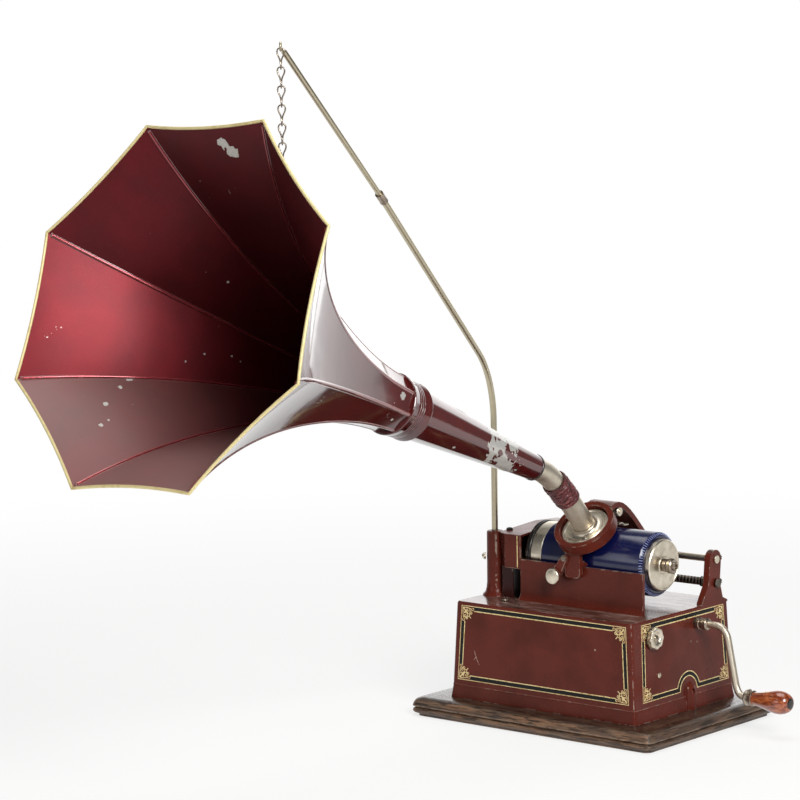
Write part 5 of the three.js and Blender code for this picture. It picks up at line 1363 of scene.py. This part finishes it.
class PHONO_OT_elbow(bpy.types.Operator):
    """Dull plated elbow tubes and the crumpled rubber sleeve between them"""
    bl_idname = "phonograph.elbow"
    bl_label = "Elbow"

    def execute(self, context):
        # The upper tube runs on inside the horn's tail
        inside = [elbow_at(1.0) + AHEAD * i * 3.6 * MM for i in range(1, 5)]
        for name, node, body, start, end, more in (
                ("lower_elbow_tube", "elbow_lower_tube", "arm", 0.0, 0.44, []),
                ("upper_elbow_tube", "elbow_upper_tube", "horn", 0.66, 1.0, inside)):
            points = [elbow_at(t) for t in spread(start, end, 20)] + more
            tube = drawn(name, points, 9.7 * MM, 12, caps=False)
            thicken(tube, 0.9, use_even_offset=True)
            soften(tube, 0.3 * MM)
            fit_out(tube, body, "nickel", "dull", node)
        count = 64
        points = [elbow_at(0.38 + 0.30 * i / count) for i in range(count + 1)]
        # Uneven swelling along the sleeve
        radii = [1.0 + 0.03 * math.sin(i * 0.55) + 0.02 * math.sin(i * 1.3 + 1.0)
                 for i in range(count + 1)]
        sleeve = drawn("rubber_sleeve_skin", points, 11.1 * MM, 16, caps=False, radii=radii)
        folds = bpy.data.textures.new("sleeve_folds", "CLOUDS")
        folds.noise_scale = 8 * MM
        folds.noise_depth = 2
        modify(sleeve, "DISPLACE", texture=folds, texture_coords="GLOBAL",
               strength=context.scene.phonograph_sizes.sleeve_crumple, mid_level=0.5)
        thicken(sleeve, 1.1)
        smooth(sleeve, 60)
        fit_out(sleeve, "arm", "rubber", "rubber", "rubber_sleeve")
        return {"FINISHED"}


# Horn


def flare(station):
    """Corner radius of the bell at a distance from the horn's small end"""
    share = (station - NECK) / (MOUTH - NECK)
    grown = (MOUTH_RADIUS - NECK_RADIUS) * (0.9 * share ** 1.8 + 0.1 * share ** 6)
    # The neck swells toward the collar
    swelling, reach = 2.7, 70.0
    return NECK_RADIUS + swelling * max(0.0, (NECK + reach - station) / reach) ** 2 + grown


def taper(station):
    """Corner radius of the tail at a distance from its small end"""
    return TAIL_RADIUS + (NECK_RADIUS - TAIL_RADIUS) * station / TAIL


def sheet_horn(name, stations, radius_at, shape, cuts, degrees, finishes, *nodes):
    """An eight-sided sheet horn grown from station to station, its vertices then shaped"""
    activate()
    bpy.ops.mesh.primitive_circle_add(vertices=8, radius=radius_at(stations[0]) * MM)
    horn = named(name)
    bpy.ops.object.mode_set(mode="EDIT")
    bpy.ops.mesh.select_mode(type="EDGE")
    bpy.ops.mesh.select_all(action="SELECT")
    bpy.ops.mesh.subdivide(number_cuts=cuts)
    bpy.ops.transform.translate(value=(0, 0, stations[0] * MM))
    for before, after in zip(stations, stations[1:]):
        bpy.ops.mesh.extrude_region_move(TRANSFORM_OT_translate={
            "value": (0, 0, (after - before) * MM)})
        grow = radius_at(after) / radius_at(before)
        bpy.ops.transform.resize(value=(grow, grow, 1.0), center_override=(0, 0, 0))
    bpy.ops.object.mode_set(mode="OBJECT")
    for vertex in horn.data.vertices:
        shape(vertex.co)
    settle(horn, ROLLED)
    mend()
    thicken(horn, SHEET, use_even_offset=True)
    smooth(horn, degrees)
    return fit_out(horn, "horn", "horn_enamel", finishes, *nodes)


class PHONO_OT_bell(bpy.types.Operator):
    """Bell of eight lacquered panels with folded seams and a gilt rim"""
    bl_idname = "phonograph.bell"
    bl_label = "Horn bell"

    def execute(self, context):
        sizes = context.scene.phonograph_sizes
        bow = sizes.rim_bow / MM
        bow_start = 250.0

        def bowed(point):
            """The middles of the panels bow inward toward the mouth"""
            middle = (math.floor(math.atan2(point.y, point.x) / EIGHTH) + 0.5) * EIGHTH
            share = math.tan(math.atan2(point.y, point.x) - middle) / math.tan(EIGHTH / 2)
            along = max(0.0, (point.z / MM - bow_start) / (MOUTH - bow_start))
            out = Vector((math.cos(middle), math.sin(middle), 0))
            point -= out * (bow * along ** 2) * (1 - share ** 2) * MM

        bell = sheet_horn("lacquered_bell", spread(205.0, 486.6, 56), flare, bowed, 9, 24,
                          "horn bell", *(f"horn_panel_{k}" for k in range(1, 9)))
        axis_at = ROLLED.inverted()
        for face in bell.data.polygons:
            here = axis_at @ face.center
            facing = axis_at.to_3x3() @ face.normal
            if facing.x * here.x + facing.y * here.y < 0:
                face.material_index = 1
        self.seams(sizes.seam_bead)
        self.rim(sizes.rim_bead, bow)
        return {"FINISHED"}

    def seams(self, radius):
        count = 48
        # The inner seams take the paler seam lacquer, a painted highlight
        for name, shift, scale, flat, finish in (
                ("outer_seams", 0.15, 1.0, 2.0, "strip"), ("inner_seams", -1.3, 0.9, 1.2, "seam")):
            bead = drawn(name, [mm(flare(s) + shift, 0, s) for s in spread(206.0, 484.6, count)],
                         radius * scale, 3, radii=[0.7 + 0.3 * i / count for i in range(count + 1)])
            bead.scale.y = flat
            settle(bead)
            seam = ringed(name, bead, [Matrix.Rotation(EIGHTH * k, 4, "Z") for k in range(8)])
            settle(seam, ROLLED)
            smooth(seam, 50)
            fit_out(seam, "horn", "horn_enamel", finish)

    def rim(self, radius, bow):
        points = []
        half = EIGHTH / 2
        for k in range(8):
            middle = (k + 0.5) * EIGHTH
            out = Vector((math.cos(middle), math.sin(middle), 0))
            across = Vector((-math.sin(middle), math.cos(middle), 0))
            for share in spread(-1, 1, 16)[:-1]:
                points.append((
                    out * (MOUTH_RADIUS * math.cos(half) - bow * (1 - share ** 2))
                    + across * MOUTH_RADIUS * math.sin(half) * share
                    + Vector((0, 0, MOUTH - 1.0))) * MM)
        bead = drawn("gilt_rim", points, radius, 6, True)
        settle(bead, ROLLED)
        smooth(bead, 40)
        fit_out(bead, "horn", "gilt", "gilt", "horn_rim")


class PHONO_OT_tail(bpy.types.Operator):
    """Faceted tail of the horn with its ribbed collar and end bead"""
    bl_idname = "phonograph.tail"
    bl_label = "Horn tail"

    def execute(self, context):
        def rounded(point):
            """Facets fade into a round end"""
            station = point.z / MM
            round_end, fade = 12.0, 50.0
            facet = 0.7 * min(1.0, max(0.0, (station - round_end) / fade))
            angle = math.atan2(point.y, point.x)
            level = taper(station) * (1 + 0.015 * (1 - facet)) * MM
            reach = level + (point.xy.length - level) * facet
            point.x, point.y = reach * math.cos(angle), reach * math.sin(angle)

        sheet_horn("lacquered_tail", spread(9.6, 190.0, 40), taper, rounded, 7, 35, "horn",
                   "horn_tail")
        lathe("tail_end_bead", HORN, ("horn", "black", "black"), [
            (9.0, 10.0), (9.0, 11.3), (9.4, 11.7), (10.8, 11.7), (11.2, 11.3), (11.2, 10.0)],
            64, True)
        # Two rim beads with four fine grooves between them
        ridges = [(186.1, 0.0), (186.9, 0.6), (188.4, 0.6), (189.2, 0.0)]
        for i in range(4):
            groove = 196.2 + 2.7 * i
            ridges += [(groove, 0.0), (groove + 0.6, -0.45), (groove + 1.2, 0.0)]
        ridges += [(209.8, 0.0), (210.6, 0.6), (212.2, 0.6), (212.9, 0.0)]
        lathe("ribbed_collar", HORN, ("horn", "horn_enamel", "horn", "horn_collar"), [
            (186.4, 21.4), (186.0, 23.2),
            *((at, 23.9 + 1.8 * (at - 186.0) / 27.0 + rise) for at, rise in ridges),
            (213.0, 24.8), (213.0, 22.8), (212.4, 22.4)], 96, True, 40)
        return {"FINISHED"}


# Crane and chain


def crane_point(reach, z):
    """A place on the crane from its reach and height"""
    turn = math.radians(14.5)
    return mm(PILLAR[0] + reach * math.sin(turn), PILLAR[1] - reach * math.cos(turn), z)


class PHONO_OT_crane(bpy.types.Operator):
    """Bent crane rod, its ferrule and the upper rod with its eye"""
    bl_idname = "phonograph.crane"
    bl_label = "Crane"

    def execute(self, context):
        rise, upper = math.radians(37.8), math.radians(36.0)
        bend_radius, bend_z, sweep = 82, 300.3, 52.2
        joint_reach, top_reach, tip_reach = 222.2, 222.8, 396.6
        low = bend_z - bend_radius * math.tan(math.radians(sweep / 2))
        joint = bend_z + joint_reach * math.tan(rise)
        top_z = joint + 0.6 * math.tan(upper)
        tip_z = top_z + (tip_reach - top_reach) * math.tan(upper)
        ahead = (math.cos(upper), math.sin(upper))
        route = [crane_point(0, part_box("crane_lower_rod")[0].z / MM)]
        for i in range(25):
            angle = math.radians(180 - sweep * i / 24)
            route.append(crane_point(bend_radius + bend_radius * math.cos(angle),
                                     low + bend_radius * math.sin(angle)))
        route.append(crane_point(joint_reach, joint))
        rod = drawn("crane_rod", route, 2.8 * MM, 8)
        smooth(rod, 40)
        fit_out(rod, "crane", "nickel", "crane", "crane_lower_rod")
        top = drawn("crane_upper", [crane_point(top_reach, top_z)] + [
            crane_point(tip_reach - back * ahead[0], tip_z - back * ahead[1])
            for back in (7, 5.6, 2.5)], 2.3 * MM, 8, radii=[1.0, 1.0, 0.54, 0.43])
        facing = math.radians(40)
        side = Vector((-math.sin(facing), math.cos(facing), 0))
        tip = crane_point(tip_reach, tip_z)
        eye = drawn("crane_eye", [
            tip + side * 3.0 * MM * math.cos(a) + Vector((0, 0, 3.0 * MM * math.sin(a)))
            for a in (2 * math.pi * i / 32 for i in range(32))], 1.0 * MM, 4, True)
        upper_rod = joined("crane_upper_rod_and_eye", [eye, top])
        smooth(upper_rod, 40)
        fit_out(upper_rod, "crane", "nickel", "crane", "crane_upper_rod")
        ferrule = drawn("crane_joint_ferrule", [
            crane_point(joint_reach - 6 * math.cos(rise), joint - 6 * math.sin(rise)),
            crane_point(joint_reach, joint),
            crane_point(joint_reach + 6 * ahead[0], joint + 6 * ahead[1])], 3.6 * MM, 8)
        soften(ferrule, 0.6 * MM, 2, 50)
        fit_out(ferrule, "crane", "black", "worn", "crane_ferrule")
        return {"FINISHED"}


class PHONO_OT_chain(bpy.types.Operator):
    """Twisted chain, its hook and the horn's eye"""
    bl_idname = "phonograph.chain"
    bl_label = "Chain"

    def execute(self, context):
        names = [f"chain_link_{i}" for i in range(1, 8)]
        for node in (*names, "chain_hook", "horn_eye"):
            link = copied(f"wire_{node}", node)
            modify(link, "SUBSURF", levels=1, render_levels=1)
            smooth(link, 60)
            fit_out(link, "horn" if node == "horn_eye" else "chain", "nickel", "worn", node)
        return {"FINISHED"}


OPERATORS = (
    PHONO_OT_studio, PHONO_OT_board, PHONO_OT_case, PHONO_OT_border, PHONO_OT_cover,
    PHONO_OT_screws, PHONO_OT_mandrel, PHONO_OT_record, PHONO_OT_rods, PHONO_OT_motor,
    PHONO_OT_knob, PHONO_OT_crank, PHONO_OT_carriage, PHONO_OT_reproducer, PHONO_OT_elbow,
    PHONO_OT_bell, PHONO_OT_tail, PHONO_OT_crane, PHONO_OT_chain,
)


class PHONO_PT_pieces(bpy.types.Panel):
    """Pieces, sizes and colours of the phonograph"""
    bl_idname = "PHONO_PT_pieces"
    bl_label = "Phonograph"
    bl_space_type = "VIEW_3D"
    bl_region_type = "UI"
    bl_category = "Phonograph"

    def draw(self, context):
        column = self.layout.column(align=True)
        for operator in OPERATORS:
            column.operator(operator.bl_idname)
        for group in (context.scene.phonograph_sizes, context.scene.phonograph_colours):
            box = self.layout.box().column()
            for name in group.__annotations__:
                box.prop(group, name)


CLASSES = (PhonographSizes, PhonographColours, *OPERATORS, PHONO_PT_pieces)


def register():
    for item in CLASSES:
        bpy.utils.register_class(item)
    bpy.types.Scene.phonograph_sizes = bpy.props.PointerProperty(type=PhonographSizes)
    bpy.types.Scene.phonograph_colours = bpy.props.PointerProperty(type=PhonographColours)


def unregister():
    del bpy.types.Scene.phonograph_colours
    del bpy.types.Scene.phonograph_sizes
    for item in reversed(CLASSES):
        bpy.utils.unregister_class(item)


def main():
    register()
    build_finishes(bpy.context.scene.phonograph_colours)
    for operator in OPERATORS:
        family, name = operator.bl_idname.split(".")
        getattr(getattr(bpy.ops, family), name)()


if __name__ == "__main__":
    main()
